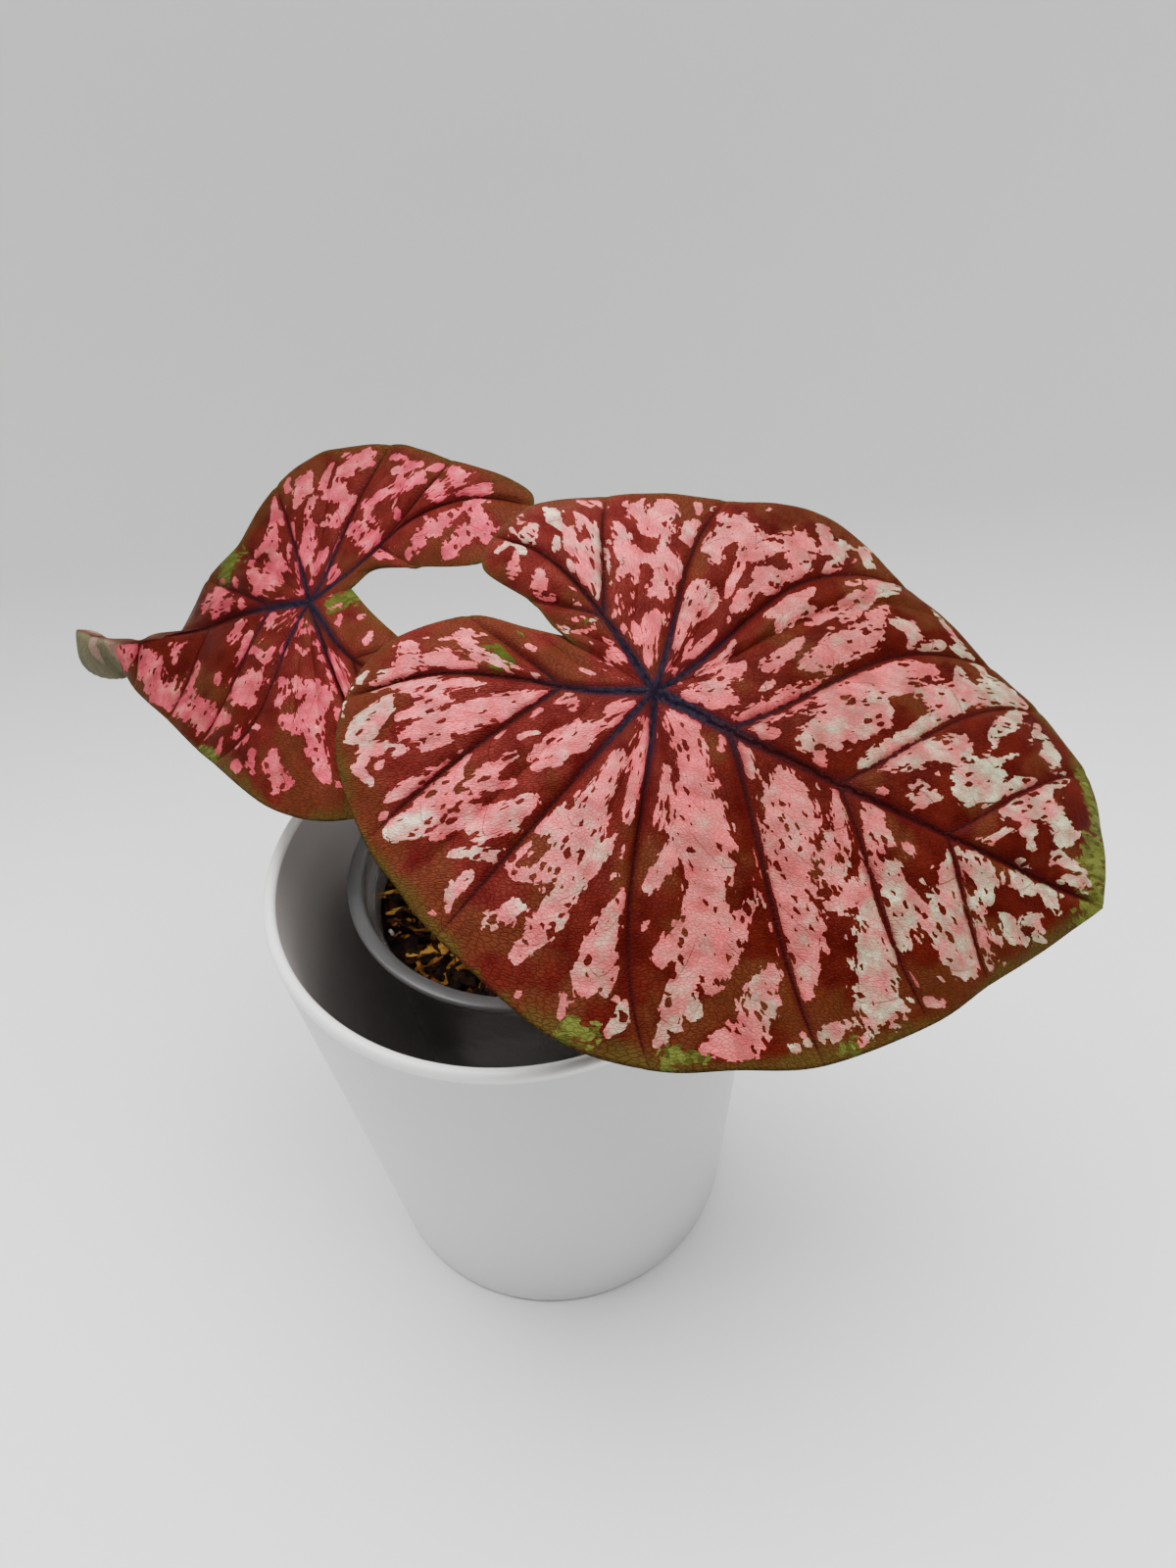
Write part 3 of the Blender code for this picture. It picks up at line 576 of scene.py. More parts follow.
draw = random.Random(CHIP_SEED)
for name, count, lengths, widths, depths, lean, tones in CHIP_KINDS:
    bpy.ops.object.select_all(action="DESELECT")
    bpy.ops.mesh.primitive_cube_add(size=1.0)
    chips = new_piece(name)
    bpy.ops.object.mode_set(mode="EDIT")
    bpy.ops.mesh.select_all(action="SELECT")
    bpy.ops.mesh.subdivide(number_cuts=1)
    bpy.ops.mesh.bevel(offset=CHIP_BEVEL, segments=1, affect="EDGES")
    bpy.ops.object.mode_set(mode="OBJECT")
    pattern = np.array([vertex.co[:] for vertex in chips.data.vertices])
    sides = [tuple(face.vertices) for face in chips.data.polygons]
    corners = []
    faces = []
    for i in range(count):
        length = draw.uniform(*lengths) * MM
        size = np.array((length, draw.uniform(*widths) * MM, draw.uniform(*depths) * MM))
        nearest = TUBER_RADIUS + 0.6 * length
        farthest = soil_edge - 0.55 * length
        reach = nearest + (farthest - nearest) * draw.uniform(0, 1) ** CHIP_SPREAD
        around = draw.uniform(0, 2 * math.pi)
        x, y = reach * math.cos(around), reach * math.sin(around)
        turn = Matrix.Rotation(draw.uniform(0, 2 * math.pi), 3, "Z")
        turn = turn @ Matrix.Rotation(draw.gauss(0, CHIP_PITCH) * lean, 3, "Y")
        turn = turn @ Matrix.Rotation(draw.gauss(0, CHIP_TILT) * lean, 3, "X")
        uneven = (-CHIP_UNEVENNESS, CHIP_UNEVENNESS)
        shape = pattern + [[draw.uniform(*uneven) for axis in range(3)] for corner in pattern]
        shape[:, 2] += draw.uniform(-CHIP_BEND, CHIP_BEND) * shape[:, 0] ** 2
        shape = (shape * size) @ np.array(turn).T
        rise = soil_height(x, y) + draw.uniform(*CHIP_LIFT) * MM
        shape += np.array((x + NURSERY_CENTRE.x, y + NURSERY_CENTRE.y, rise))
        faces += [tuple(k + len(corners) for k in face) for face in sides]
        corners += [tuple(corner) for corner in shape]
    chips.data.clear_geometry()
    chips.data.from_pydata(corners, [], faces)
    bpy.ops.object.shade_smooth_by_angle(angle=math.radians(35))
    chips.data.materials.append(rough_finish(name + "_bark", tones, 300.0, 0.75, 0.0003))
    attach(chips, "root")

# Tuber
# The caladium's squat brown tuber, ringed with old leaf scars and knobbly, its crown just out of
# the mix. It is a sphere squashed to size, with its rings and knobs raised.
RING_RELIEF = 0.012
RING_RATE = 26
KNOB_RELIEF = 0.05
KNOB_RATE = 2.6

bpy.ops.object.select_all(action="DESELECT")
bpy.ops.mesh.primitive_uv_sphere_add(segments=96, ring_count=64, radius=1.0)
tuber = new_piece("caladium_tuber")
for vertex in tuber.data.vertices:
    flat = max(math.hypot(vertex.co.x, vertex.co.y), 1e-6)
    widen = flat ** TUBER_ROUNDNESS / flat
    knobs = KNOB_RELIEF * abs(noise.noise(vertex.co * KNOB_RATE))
    shrink = 1 - RING_RELIEF - knobs + RING_RELIEF * math.sin(vertex.co.z * RING_RATE)
    x, y = vertex.co.x * widen * TUBER_RADIUS, vertex.co.y * widen * TUBER_RADIUS
    vertex.co = Vector((x, y, vertex.co.z * TUBER_HEIGHT / 2)) * shrink
tuber.data.transform(Matrix.Translation(NURSERY_CENTRE + Vector((0, 0, tuber_centre))))
bpy.ops.object.shade_smooth()
TUBER_SKIN = ((0.05, 0.025, 0.012), (0.13, 0.07, 0.035), (0.24, 0.15, 0.08))
tuber.data.materials.append(rough_finish("tuber_skin", TUBER_SKIN, 500.0, 0.85, 0.0004))
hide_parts("tuber")
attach(tuber, "root")

# Form of the leaves
# A caladium leaf is a peltate arrow shape: a midrib from the hub to the tip, and behind the hub two
# lobes, each with its own basal rib. The larger of the two leaves hangs over the front of the pot,
# and the smaller one behind it has its tip rolled over.

# Each leaf is drawn in its own frame, in millimetres: along from the hub to the tip, across, and
# lift above the hub's plane. Heading, dip and roll (degrees) turn that frame about the hub.
# Its colouring is the pink of its patches, how white they may turn, the side that its olive margin
# is on, and how much of the olive there is elsewhere.
# A rib is (root, along, across, lift, bow, vein): where it leaves the spine (above 0 on the midrib,
# below 0 on the basal rib), where it meets the margin, its bow and how strong a vein it is.
# The pale patches and the green spots are strokes laid between the ribs: a tone, from 0 pink to 1
# white (or deep to yellow green), and its points as (rib, row, half width in ribs).
FRONT_LEAF = {
    "name": "front",
    "colouring": ((0.76, 0.100, 0.122), 0.92, -1, 0.05),
    "vein_size": 1.0,
    "hub": (36, -12, 205),
    "turn": (-22, 19, 23),
    "midrib": ((0, 0, 0), (26, -2, 1), (52, -3, 1), (80, -3, -1), (108, -1, -7)),
    "halves": (
        {
            "side": -1,
            "basal": ((0, 0, 0), (-13, -6, 0), (-27, -10, 0), (-43, -16, -1), (-60, -27, -8)),
            "ribs": (
                (1.00, 108, -1, -7, 0, 0.0),
                (0.85, 98, -16, -7, 0, 0.0),
                (0.65, 89, -28, -6, 1, 0.4),
                (0.42, 80, -41, -5, 2, 0.5),
                (0.17, 62, -58, -5, 2, 1.0),
                (0.00, 46, -66, -5, 3, 0.0),
                (0.00, 30, -73, -5, 5, 1.0),
                (0.00, 9, -75, -6, 2, 0.0),
                (0.00, -20, -66, -8, 0, 1.0),
                (-0.17, -32, -60, -9, -1, 0.0),
                (-0.35, -42, -54, -9, 1, 0.8),
                (-0.70, -55, -41, -9, -1, 0.0),
                (-1.00, -60, -27, -8, 0, 0.0),
                (-0.70, -57, -12, -6, 0, 0.0),
                (-0.35, -44, 0, -4, 0, 0.4),
                (-0.17, -31, 3, -3, 0, 0.0),
                (0.00, -20, 5, -2.4, 0, 0.0),
            ),
            "patches": (
                (0.95, ((0.87, 0.02, 0.16), (0.82, 0.25, 0.12), (0.76, 0.50, 0.05))),
                (0.95, ((1.18, 0.02, 0.20), (1.15, 0.17, 0.12))),
                (0.90, ((1.30, 0.10, 0.06), (1.36, 0.24, 0.04))),
                (0.90, ((1.33, 0.28, 0.03), (1.34, 0.46, 0.03))),
                (0.95, ((1.08, 0.57, 0.07), (1.25, 0.60, 0.08))),
                (0.90, ((1.10, 0.63, 0.05), (1.00, 0.74, 0.03))),
                (0.95, ((1.56, 0.54, 0.05), (1.48, 0.70, 0.11), (1.28, 0.81, 0.04))),
                (0.90, ((1.15, 0.77, 0.06), (0.93, 0.92, 0.03))),
                (0.85, ((1.68, 0.03, 0.09), (1.72, 0.28, 0.16), (1.70, 0.43, 0.06))),
                (0.75, ((1.98, 0.10, 0.05), (2.10, 0.35, 0.18), (2.28, 0.60, 0.36), (2.15, 0.73, 0.40),
                 (2.28, 0.86, 0.10))),
                (0.60, ((2.50, 0.21, 0.05), (2.54, 0.27, 0.04))),
                (0.50, ((2.72, 0.04, 0.09), (2.85, 0.25, 0.11), (3.10, 0.44, 0.11),
                 (3.45, 0.52, 0.08))),
                (0.80, ((2.76, 0.34, 0.08), (2.80, 0.52, 0.21), (3.05, 0.72, 0.06))),
                (0.50, ((3.05, 0.05, 0.04), (3.22, 0.28, 0.09), (3.40, 0.44, 0.09))),
                (0.80, ((3.12, 0.50, 0.09), (3.25, 0.68, 0.16), (3.35, 0.85, 0.20),
                 (3.45, 0.92, 0.08))),
                (0.45, ((3.60, 0.08, 0.07), (3.65, 0.22, 0.22), (3.80, 0.45, 0.20), (3.82, 0.65, 0.15),
                 (3.92, 0.79, 0.06))),
                (0.40, ((3.92, 0.03, 0.05), (3.90, 0.12, 0.06))),
                (0.70, ((3.66, 0.90, 0.05), (3.85, 0.92, 0.08))),
                (0.60, ((2.80, 0.95, 0.04), (2.92, 0.91, 0.05))),
                (0.50, ((3.58, 0.97, 0.04), (3.60, 0.96, 0.04))),
                (0.80, ((4.05, 0.93, 0.04), (4.08, 0.93, 0.04))),
                (0.80, ((4.22, 0.945, 0.05), (4.25, 0.94, 0.05))),
                (0.30, ((4.12, 0.05, 0.05), (4.20, 0.09, 0.04))),
                (0.20, ((4.68, 0.04, 0.12), (4.65, 0.18, 0.15), (4.68, 0.30, 0.24))),
                (0.45, ((4.68, 0.30, 0.24), (4.75, 0.39, 0.36), (4.68, 0.48, 0.22), (4.80, 0.60, 0.22),
                 (5.05, 0.72, 0.25), (5.35, 0.78, 0.12))),
                (0.40, ((4.25, 0.54, 0.05), (4.60, 0.66, 0.15), (4.95, 0.78, 0.12))),
                (0.40, ((5.22, 0.66, 0.18), (5.52, 0.71, 0.14))),
                (0.50, ((4.95, 0.40, 0.06), (4.95, 0.48, 0.04))),
                (0.35, ((5.12, 0.22, 0.12), (5.28, 0.27, 0.16), (5.58, 0.37, 0.10))),
                (0.40, ((5.06, 0.27, 0.09), (5.02, 0.32, 0.06))),
                (0.45, ((5.08, 0.43, 0.14), (5.36, 0.47, 0.22), (5.72, 0.54, 0.10))),
                (0.35, ((5.74, 0.63, 0.05), (5.76, 0.64, 0.04))),
                (0.75, ((5.24, 0.85, 0.09), (5.42, 0.79, 0.11), (5.58, 0.87, 0.12),
                 (5.82, 0.93, 0.05))),
                (0.60, ((4.22, 0.74, 0.11), (4.40, 0.80, 0.18), (4.62, 0.88, 0.17))),
                (0.25, ((4.62, 0.88, 0.17), (4.85, 0.93, 0.20), (5.10, 0.93, 0.14),
                 (5.28, 0.94, 0.06))),
                (0.15, ((5.15, 0.065, 0.05), (6.00, 0.085, 0.14), (6.90, 0.10, 0.15),
                 (7.50, 0.10, 0.11))),
                (0.30, ((6.38, 0.13, 0.32), (6.45, 0.24, 0.34), (6.55, 0.38, 0.16))),
                (0.35, ((6.85, 0.18, 0.08), (7.15, 0.24, 0.07))),
                (0.45, ((7.42, 0.24, 0.18), (7.40, 0.32, 0.22), (7.45, 0.40, 0.20))),
                (0.60, ((7.45, 0.40, 0.20), (7.30, 0.52, 0.34), (7.22, 0.62, 0.16), (7.28, 0.77, 0.10),
                 (7.42, 0.89, 0.05))),
                (0.50, ((7.72, 0.50, 0.14), (7.92, 0.56, 0.09))),
                (0.65, ((6.85, 0.47, 0.12), (6.95, 0.54, 0.12))),
                (0.55, ((7.50, 0.58, 0.07), (7.58, 0.68, 0.08), (7.78, 0.71, 0.06))),
                (0.60, ((7.58, 0.77, 0.06), (7.70, 0.87, 0.06))),
                (0.50, ((7.86, 0.62, 0.05), (7.88, 0.70, 0.04))),
                (0.55, ((6.22, 0.57, 0.10), (6.40, 0.68, 0.23), (6.62, 0.79, 0.22),
                 (6.72, 0.85, 0.09))),
                (0.60, ((6.25, 0.77, 0.06), (6.40, 0.83, 0.06))),
                (0.60, ((6.42, 0.45, 0.05), (6.45, 0.49, 0.04))),
                (0.60, ((6.40, 0.53, 0.04), (6.60, 0.55, 0.04))),
                (0.75, ((6.10, 0.84, 0.06), (6.25, 0.90, 0.11), (6.45, 0.94, 0.04))),
                (0.50, ((6.92, 0.88, 0.03), (6.92, 0.94, 0.03))),
                (0.20, ((8.15, 0.06, 0.08), (8.50, 0.10, 0.15), (8.60, 0.08, 0.06))),
                (0.30, ((8.18, 0.13, 0.06), (8.20, 0.16, 0.04))),
                (0.40, ((8.40, 0.17, 0.12), (8.58, 0.24, 0.28), (8.78, 0.32, 0.27),
                 (8.85, 0.39, 0.12))),
                (0.35, ((8.95, 0.17, 0.05), (9.10, 0.28, 0.11), (9.05, 0.37, 0.08))),
                (0.25, ((9.38, 0.10, 0.08), (9.55, 0.06, 0.10), (9.70, 0.10, 0.04))),
                (0.30, ((9.80, 0.16, 0.07), (9.76, 0.21, 0.05))),
                (0.35, ((9.93, 0.31, 0.05), (9.91, 0.35, 0.06))),
                (0.90, ((9.35, 0.26, 0.03), (9.38, 0.27, 0.04))),
                (0.35, ((9.53, 0.27, 0.05), (9.57, 0.31, 0.06))),
                (0.35, ((9.38, 0.39, 0.08), (9.40, 0.50, 0.16), (9.45, 0.62, 0.16))),
                (0.40, ((9.00, 0.48, 0.09), (9.20, 0.53, 0.08))),
                (0.40, ((9.98, 0.47, 0.06), (9.95, 0.55, 0.14), (9.78, 0.64, 0.27),
                 (9.68, 0.73, 0.30))),
                (0.40, ((10.05, 0.64, 0.12), (10.18, 0.78, 0.09), (10.22, 0.84, 0.04))),
                (0.95, ((9.60, 0.75, 0.17), (9.62, 0.82, 0.22), (9.78, 0.88, 0.16))),
                (0.60, ((9.90, 0.86, 0.12), (10.05, 0.88, 0.08))),
                (0.50, ((8.32, 0.52, 0.18), (8.45, 0.60, 0.28), (8.80, 0.66, 0.32))),
                (0.45, ((8.95, 0.60, 0.12), (9.15, 0.69, 0.14), (9.22, 0.79, 0.07))),
                (0.85, ((8.02, 0.70, 0.10), (8.45, 0.75, 0.11), (8.78, 0.79, 0.09))),
                (0.55, ((8.22, 0.81, 0.09), (8.20, 0.88, 0.09), (8.10, 0.92, 0.04))),
                (0.40, ((10.05, 0.05, 0.08), (10.22, 0.20, 0.12), (10.42, 0.33, 0.16),
                 (10.58, 0.46, 0.15), (10.72, 0.56, 0.10))),
                (0.40, ((10.80, 0.28, 0.06), (10.88, 0.38, 0.09), (11.00, 0.50, 0.06))),
                (0.40, ((10.35, 0.46, 0.06), (10.38, 0.58, 0.04))),
                (0.30, ((10.85, 0.06, 0.05), (10.87, 0.14, 0.05))),
                (0.40, ((11.15, 0.10, 0.05), (11.20, 0.26, 0.08))),
                (0.55, ((10.62, 0.66, 0.06), (10.85, 0.74, 0.08))),
                (0.60, ((10.60, 0.64, 0.05), (10.78, 0.71, 0.09), (10.93, 0.80, 0.09),
                 (10.76, 0.88, 0.08), (10.54, 0.86, 0.05))),
                (0.60, ((10.60, 0.78, 0.05), (10.62, 0.79, 0.05))),
                (0.98, ((12.38, 0.82, 0.05), (12.22, 0.90, 0.08), (11.86, 0.92, 0.07),
                 (11.60, 0.93, 0.05))),
                (0.95, ((11.34, 0.52, 0.07), (11.38, 0.76, 0.08), (11.24, 0.88, 0.07),
                 (11.02, 0.78, 0.06))),
                (0.70, ((11.34, 0.40, 0.08), (11.18, 0.55, 0.10), (11.06, 0.80, 0.07))),
                (0.45, ((11.35, 0.22, 0.06), (11.05, 0.16, 0.13), (10.95, 0.14, 0.06))),
                (0.35, ((10.95, 0.11, 0.05), (10.75, 0.09, 0.05))),
                (0.50, ((12.30, 0.15, 0.07), (12.55, 0.06, 0.05))),
                (0.90, ((12.44, 0.40, 0.05), (12.50, 0.44, 0.05))),
                (0.45, ((13.04, 0.76, 0.10), (12.86, 0.55, 0.13), (12.66, 0.28, 0.12))),
                (0.40, ((12.84, 0.15, 0.05), (12.98, 0.36, 0.08), (13.14, 0.38, 0.08),
                 (13.12, 0.26, 0.06))),
                (0.45, ((13.60, 0.68, 0.10), (13.50, 0.50, 0.05))),
                (0.40, ((13.05, 0.14, 0.05), (13.22, 0.14, 0.05))),
                (0.50, ((13.46, 0.38, 0.06), (13.56, 0.36, 0.05))),
                (0.80, ((13.58, 0.33, 0.04), (13.56, 0.24, 0.05))),
                (0.50, ((13.58, 0.11, 0.06), (13.64, 0.12, 0.05))),
                (0.60, ((13.74, 0.06, 0.05), (13.80, 0.06, 0.04))),
                (0.50, ((13.32, 0.80, 0.03), (13.33, 0.79, 0.03))),
                (0.50, ((13.41, 0.70, 0.03), (13.42, 0.69, 0.03))),
                (0.50, ((13.84, 0.70, 0.03), (13.85, 0.69, 0.03))),
                (0.40, ((14.30, 0.55, 0.04), (14.36, 0.50, 0.04))),
                (0.40, ((14.95, 0.30, 0.05), (15.05, 0.24, 0.04))),
            ),
            "limes": (
                (1.00, ((0.15, 0.00, 0.30), (0.15, 1.00, 0.30))),
                (1.00, ((5.30, 0.965, 0.06), (5.75, 0.965, 0.13))),
                (1.00, ((6.60, 0.95, 0.10), (6.82, 0.96, 0.13))),
                (1.00, ((3.70, 0.967, 0.07), (3.80, 0.97, 0.05))),
                (1.00, ((4.96, 0.945, 0.06), (5.02, 0.95, 0.05))),
                (0.00, ((13.74, 0.39, 0.07), (13.60, 0.24, 0.10), (13.45, 0.09, 0.05))),
                (0.30, ((13.60, 0.45, 0.03), (13.80, 0.50, 0.04))),
                (0.60, ((14.26, 0.46, 0.04), (14.34, 0.48, 0.04))),
                (0.60, ((14.48, 0.77, 0.04), (14.52, 0.74, 0.04))),
            ),
        },
        {
            "side": 1,
            "basal": ((0, 0, 0), (-12, 8, 1), (-24, 15, 1), (-36, 20, -1), (-48, 23, -8)),
            "ribs": (
                (1.00, 108, -1, -7, 0, 0.0),
                (0.85, 105, 13, -8, 0, 0.0),
                (0.65, 97, 28, -9, 2, 0.4),
                (0.42, 83, 39, -10, 4, 0.5),
                (0.17, 69, 44, -9, 7, 1.0),
                (0.00, 57, 50, -8, 9, 0.0),
                (0.00, 44, 54, -8, 10, 1.0),
                (0.00, 20, 64, -9, 6, 0.0),
                (0.00, -3, 56, -8, 3, 1.0),
                (-0.17, -17, 51, -8, 2, 0.0),
                (-0.35, -29, 45, -9, 1, 0.8),
                (-0.70, -43, 35, -9, 0, 0.0),
                (-1.00, -48, 23, -8, 0, 0.0),
                (-0.70, -46, 13, -6, 0, 0.0),
                (-0.35, -33, 9, -3, 0, 0.4),
                (-0.17, -26, 5, -1.4, 0, 0.0),
                (0.00, -20, 2.6, -1, 0, 0.0),
            ),
            "patches": (
                (0.90, ((0.72, 0.02, 0.07), (0.74, 0.12, 0.04))),
                (0.95, ((1.20, 0.01, 0.10), (1.28, 0.06, 0.05))),
                (0.90, ((0.65, 0.29, 0.05), (0.75, 0.27, 0.08), (0.60, 0.35, 0.10), (0.68, 0.43, 0.12),
                 (0.55, 0.47, 0.06))),
                (0.90, ((1.12, 0.28, 0.05), (1.15, 0.36, 0.08), (0.90, 0.44, 0.08))),
                (0.90, ((0.42, 0.22, 0.04), (0.45, 0.34, 0.04))),
                (0.90, ((1.40, 0.23, 0.04), (1.41, 0.27, 0.04))),
                (0.92, ((1.27, 0.46, 0.06), (1.33, 0.55, 0.12), (1.28, 0.67, 0.06))),
                (0.90, ((1.50, 0.53, 0.04), (1.52, 0.63, 0.04))),
                (0.90, ((1.57, 0.31, 0.07), (1.60, 0.37, 0.08))),
                (0.75, ((1.88, 0.33, 0.06), (1.88, 0.45, 0.18), (1.80, 0.56, 0.20),
                 (1.92, 0.68, 0.06))),
                (0.92, ((2.32, 0.26, 0.06), (2.30, 0.33, 0.16), (2.25, 0.43, 0.20),
                 (2.38, 0.52, 0.10))),
                (0.85, ((2.10, 0.50, 0.08), (2.02, 0.62, 0.07))),
                (0.80, ((1.70, 0.08, 0.04), (1.72, 0.26, 0.04))),
                (0.70, ((2.42, 0.09, 0.06), (2.42, 0.18, 0.05))),
                (0.70, ((2.62, 0.17, 0.05), (2.64, 0.20, 0.04))),
                (0.50, ((2.70, 0.05, 0.05), (2.72, 0.07, 0.04))),
                (0.70, ((3.08, 0.14, 0.05), (3.00, 0.25, 0.15), (2.95, 0.36, 0.15), (2.72, 0.44, 0.17),
                 (2.78, 0.52, 0.06))),
                (0.75, ((3.08, 0.38, 0.04), (3.12, 0.48, 0.09), (3.15, 0.58, 0.08),
                 (3.18, 0.74, 0.06))),
                (0.70, ((3.32, 0.60, 0.08), (3.42, 0.57, 0.06))),
                (0.60, ((3.55, 0.12, 0.10), (3.55, 0.22, 0.18), (3.48, 0.36, 0.14),
                 (3.45, 0.42, 0.06))),
                (0.35, ((3.25, 0.04, 0.04), (3.38, 0.09, 0.05))),
                (0.35, ((3.78, 0.03, 0.05), (3.80, 0.08, 0.05))),
                (0.30, ((4.02, 0.06, 0.10), (4.05, 0.20, 0.11), (3.98, 0.34, 0.15), (3.85, 0.48, 0.15),
                 (3.80, 0.60, 0.14), (3.72, 0.72, 0.07))),
                (0.60, ((3.62, 0.42, 0.06), (3.62, 0.56, 0.08))),
                (0.50, ((3.35, 0.60, 0.10), (3.28, 0.72, 0.13), (3.18, 0.80, 0.10))),
                (0.90, ((2.65, 0.62, 0.05), (2.75, 0.75, 0.09), (2.85, 0.84, 0.08),
                 (3.02, 0.90, 0.07))),
                (0.95, ((3.25, 0.85, 0.18), (3.25, 0.93, 0.22), (3.05, 0.95, 0.08))),
                (0.90, ((3.40, 0.74, 0.08), (3.58, 0.80, 0.09), (3.70, 0.82, 0.04))),
                (0.85, ((1.95, 0.76, 0.07), (2.00, 0.85, 0.05))),
                (0.90, ((2.18, 0.80, 0.04), (2.30, 0.86, 0.11), (2.50, 0.90, 0.05))),
                (0.90, ((2.45, 0.76, 0.04), (2.45, 0.82, 0.04))),
                (0.90, ((2.60, 0.86, 0.06), (2.68, 0.91, 0.05))),
                (0.90, ((2.42, 0.63, 0.04), (2.44, 0.67, 0.04))),
                (0.95, ((3.62, 0.90, 0.04), (3.85, 0.95, 0.05), (4.25, 0.93, 0.12),
                 (4.05, 0.91, 0.07))),
                (0.85, ((4.50, 0.95, 0.06), (5.00, 0.97, 0.06), (5.50, 0.985, 0.04))),
                (0.85, ((4.08, 0.77, 0.07), (4.12, 0.82, 0.08), (4.20, 0.86, 0.07))),
                (0.70, ((4.15, 0.74, 0.06), (4.35, 0.79, 0.10), (4.50, 0.80, 0.11),
                 (4.60, 0.75, 0.06))),
                (0.45, ((4.38, 0.36, 0.08), (4.35, 0.45, 0.16), (4.42, 0.55, 0.19), (4.42, 0.63, 0.18),
                 (4.65, 0.70, 0.15), (4.90, 0.78, 0.06))),
                (0.40, ((4.60, 0.28, 0.07), (4.68, 0.38, 0.08), (4.75, 0.45, 0.05))),
                (0.35, ((4.70, 0.03, 0.09), (4.72, 0.13, 0.09), (4.80, 0.22, 0.08),
                 (4.85, 0.26, 0.04))),
                (0.15, ((4.45, 0.04, 0.05), (4.45, 0.13, 0.05))),
                (0.35, ((4.35, 0.20, 0.04), (4.42, 0.26, 0.04))),
                (0.40, ((4.95, 0.52, 0.08), (4.98, 0.60, 0.09), (5.08, 0.67, 0.09), (5.30, 0.74, 0.08),
                 (5.35, 0.80, 0.05))),
                (0.45, ((4.80, 0.62, 0.08), (5.00, 0.72, 0.09), (5.15, 0.77, 0.08))),
                (0.30, ((5.10, 0.08, 0.10), (5.55, 0.08, 0.08), (5.95, 0.095, 0.05))),
                (0.30, ((5.15, 0.14, 0.14), (5.15, 0.22, 0.22), (5.50, 0.27, 0.20),
                 (5.80, 0.30, 0.12))),
                (0.45, ((5.10, 0.43, 0.10), (5.35, 0.47, 0.24), (5.45, 0.52, 0.32),
                 (5.20, 0.56, 0.12))),
                (0.40, ((5.70, 0.45, 0.14), (5.80, 0.55, 0.10), (5.65, 0.58, 0.14),
                 (5.78, 0.64, 0.06))),
                (0.90, ((5.25, 0.80, 0.05), (5.50, 0.85, 0.13), (5.75, 0.91, 0.14),
                 (5.98, 0.98, 0.06))),
                (0.40, ((5.45, 0.80, 0.06), (5.75, 0.85, 0.08), (5.85, 0.90, 0.05))),
                (0.40, ((5.72, 0.77, 0.06), (5.78, 0.81, 0.05))),
                (0.20, ((6.35, 0.08, 0.10), (6.70, 0.10, 0.12), (7.10, 0.10, 0.08), (7.40, 0.09, 0.13),
                 (7.85, 0.08, 0.10))),
                (0.35, ((6.90, 0.15, 0.08), (6.60, 0.18, 0.15), (6.48, 0.25, 0.16),
                 (6.45, 0.29, 0.08))),
                (0.30, ((6.80, 0.15, 0.10), (7.00, 0.19, 0.12), (7.02, 0.23, 0.06))),
                (0.40, ((7.62, 0.19, 0.12), (7.70, 0.27, 0.30), (7.65, 0.35, 0.30))),
                (0.45, ((7.65, 0.35, 0.30), (7.45, 0.42, 0.30), (7.60, 0.47, 0.10))),
                (0.40, ((7.10, 0.33, 0.08), (6.92, 0.39, 0.12), (7.10, 0.42, 0.12))),
                (0.40, ((6.38, 0.35, 0.08), (6.40, 0.36, 0.06))),
                (0.45, ((6.45, 0.40, 0.15), (6.50, 0.46, 0.15), (6.42, 0.49, 0.08))),
                (0.40, ((6.80, 0.43, 0.06), (6.95, 0.50, 0.11), (7.00, 0.58, 0.10),
                 (7.15, 0.63, 0.08))),
                (0.40, ((6.10, 0.55, 0.06), (6.45, 0.51, 0.10), (6.55, 0.58, 0.15), (6.35, 0.60, 0.11),
                 (6.20, 0.66, 0.10))),
                (0.40, ((6.20, 0.66, 0.10), (6.42, 0.72, 0.19), (6.60, 0.80, 0.14),
                 (6.85, 0.85, 0.06))),
                (0.40, ((6.90, 0.62, 0.13), (6.85, 0.70, 0.17), (6.75, 0.76, 0.15))),
                (0.45, ((7.50, 0.60, 0.10), (7.70, 0.66, 0.13), (7.60, 0.74, 0.15), (7.35, 0.74, 0.13),
                 (7.15, 0.68, 0.13), (7.10, 0.63, 0.08))),
                (0.45, ((7.30, 0.74, 0.18), (7.55, 0.80, 0.20), (7.70, 0.86, 0.10))),
                (0.50, ((6.05, 0.76, 0.10), (6.25, 0.82, 0.11), (6.50, 0.87, 0.08),
                 (6.75, 0.92, 0.07))),
                (0.90, ((6.42, 0.89, 0.05), (6.55, 0.93, 0.07))),
                (0.80, ((6.25, 0.94, 0.06), (6.42, 0.97, 0.08))),
                (0.15, ((8.42, 0.06, 0.08), (8.44, 0.16, 0.11), (8.48, 0.27, 0.13),
                 (8.40, 0.29, 0.08))),
                (0.10, ((8.80, 0.10, 0.09), (9.00, 0.13, 0.10), (9.05, 0.15, 0.05))),
                (0.30, ((8.75, 0.18, 0.05), (8.72, 0.24, 0.04))),
                (0.35, ((9.20, 0.17, 0.05), (9.08, 0.22, 0.04))),
                (0.20, ((9.35, 0.03, 0.06), (9.32, 0.07, 0.06))),
                (0.30, ((9.50, 0.12, 0.04), (9.35, 0.19, 0.04))),
                (0.30, ((9.62, 0.10, 0.06), (9.68, 0.05, 0.05))),
                (0.30, ((9.62, 0.16, 0.05), (9.55, 0.22, 0.04))),
                (0.50, ((9.15, 0.27, 0.04), (9.18, 0.29, 0.04))),
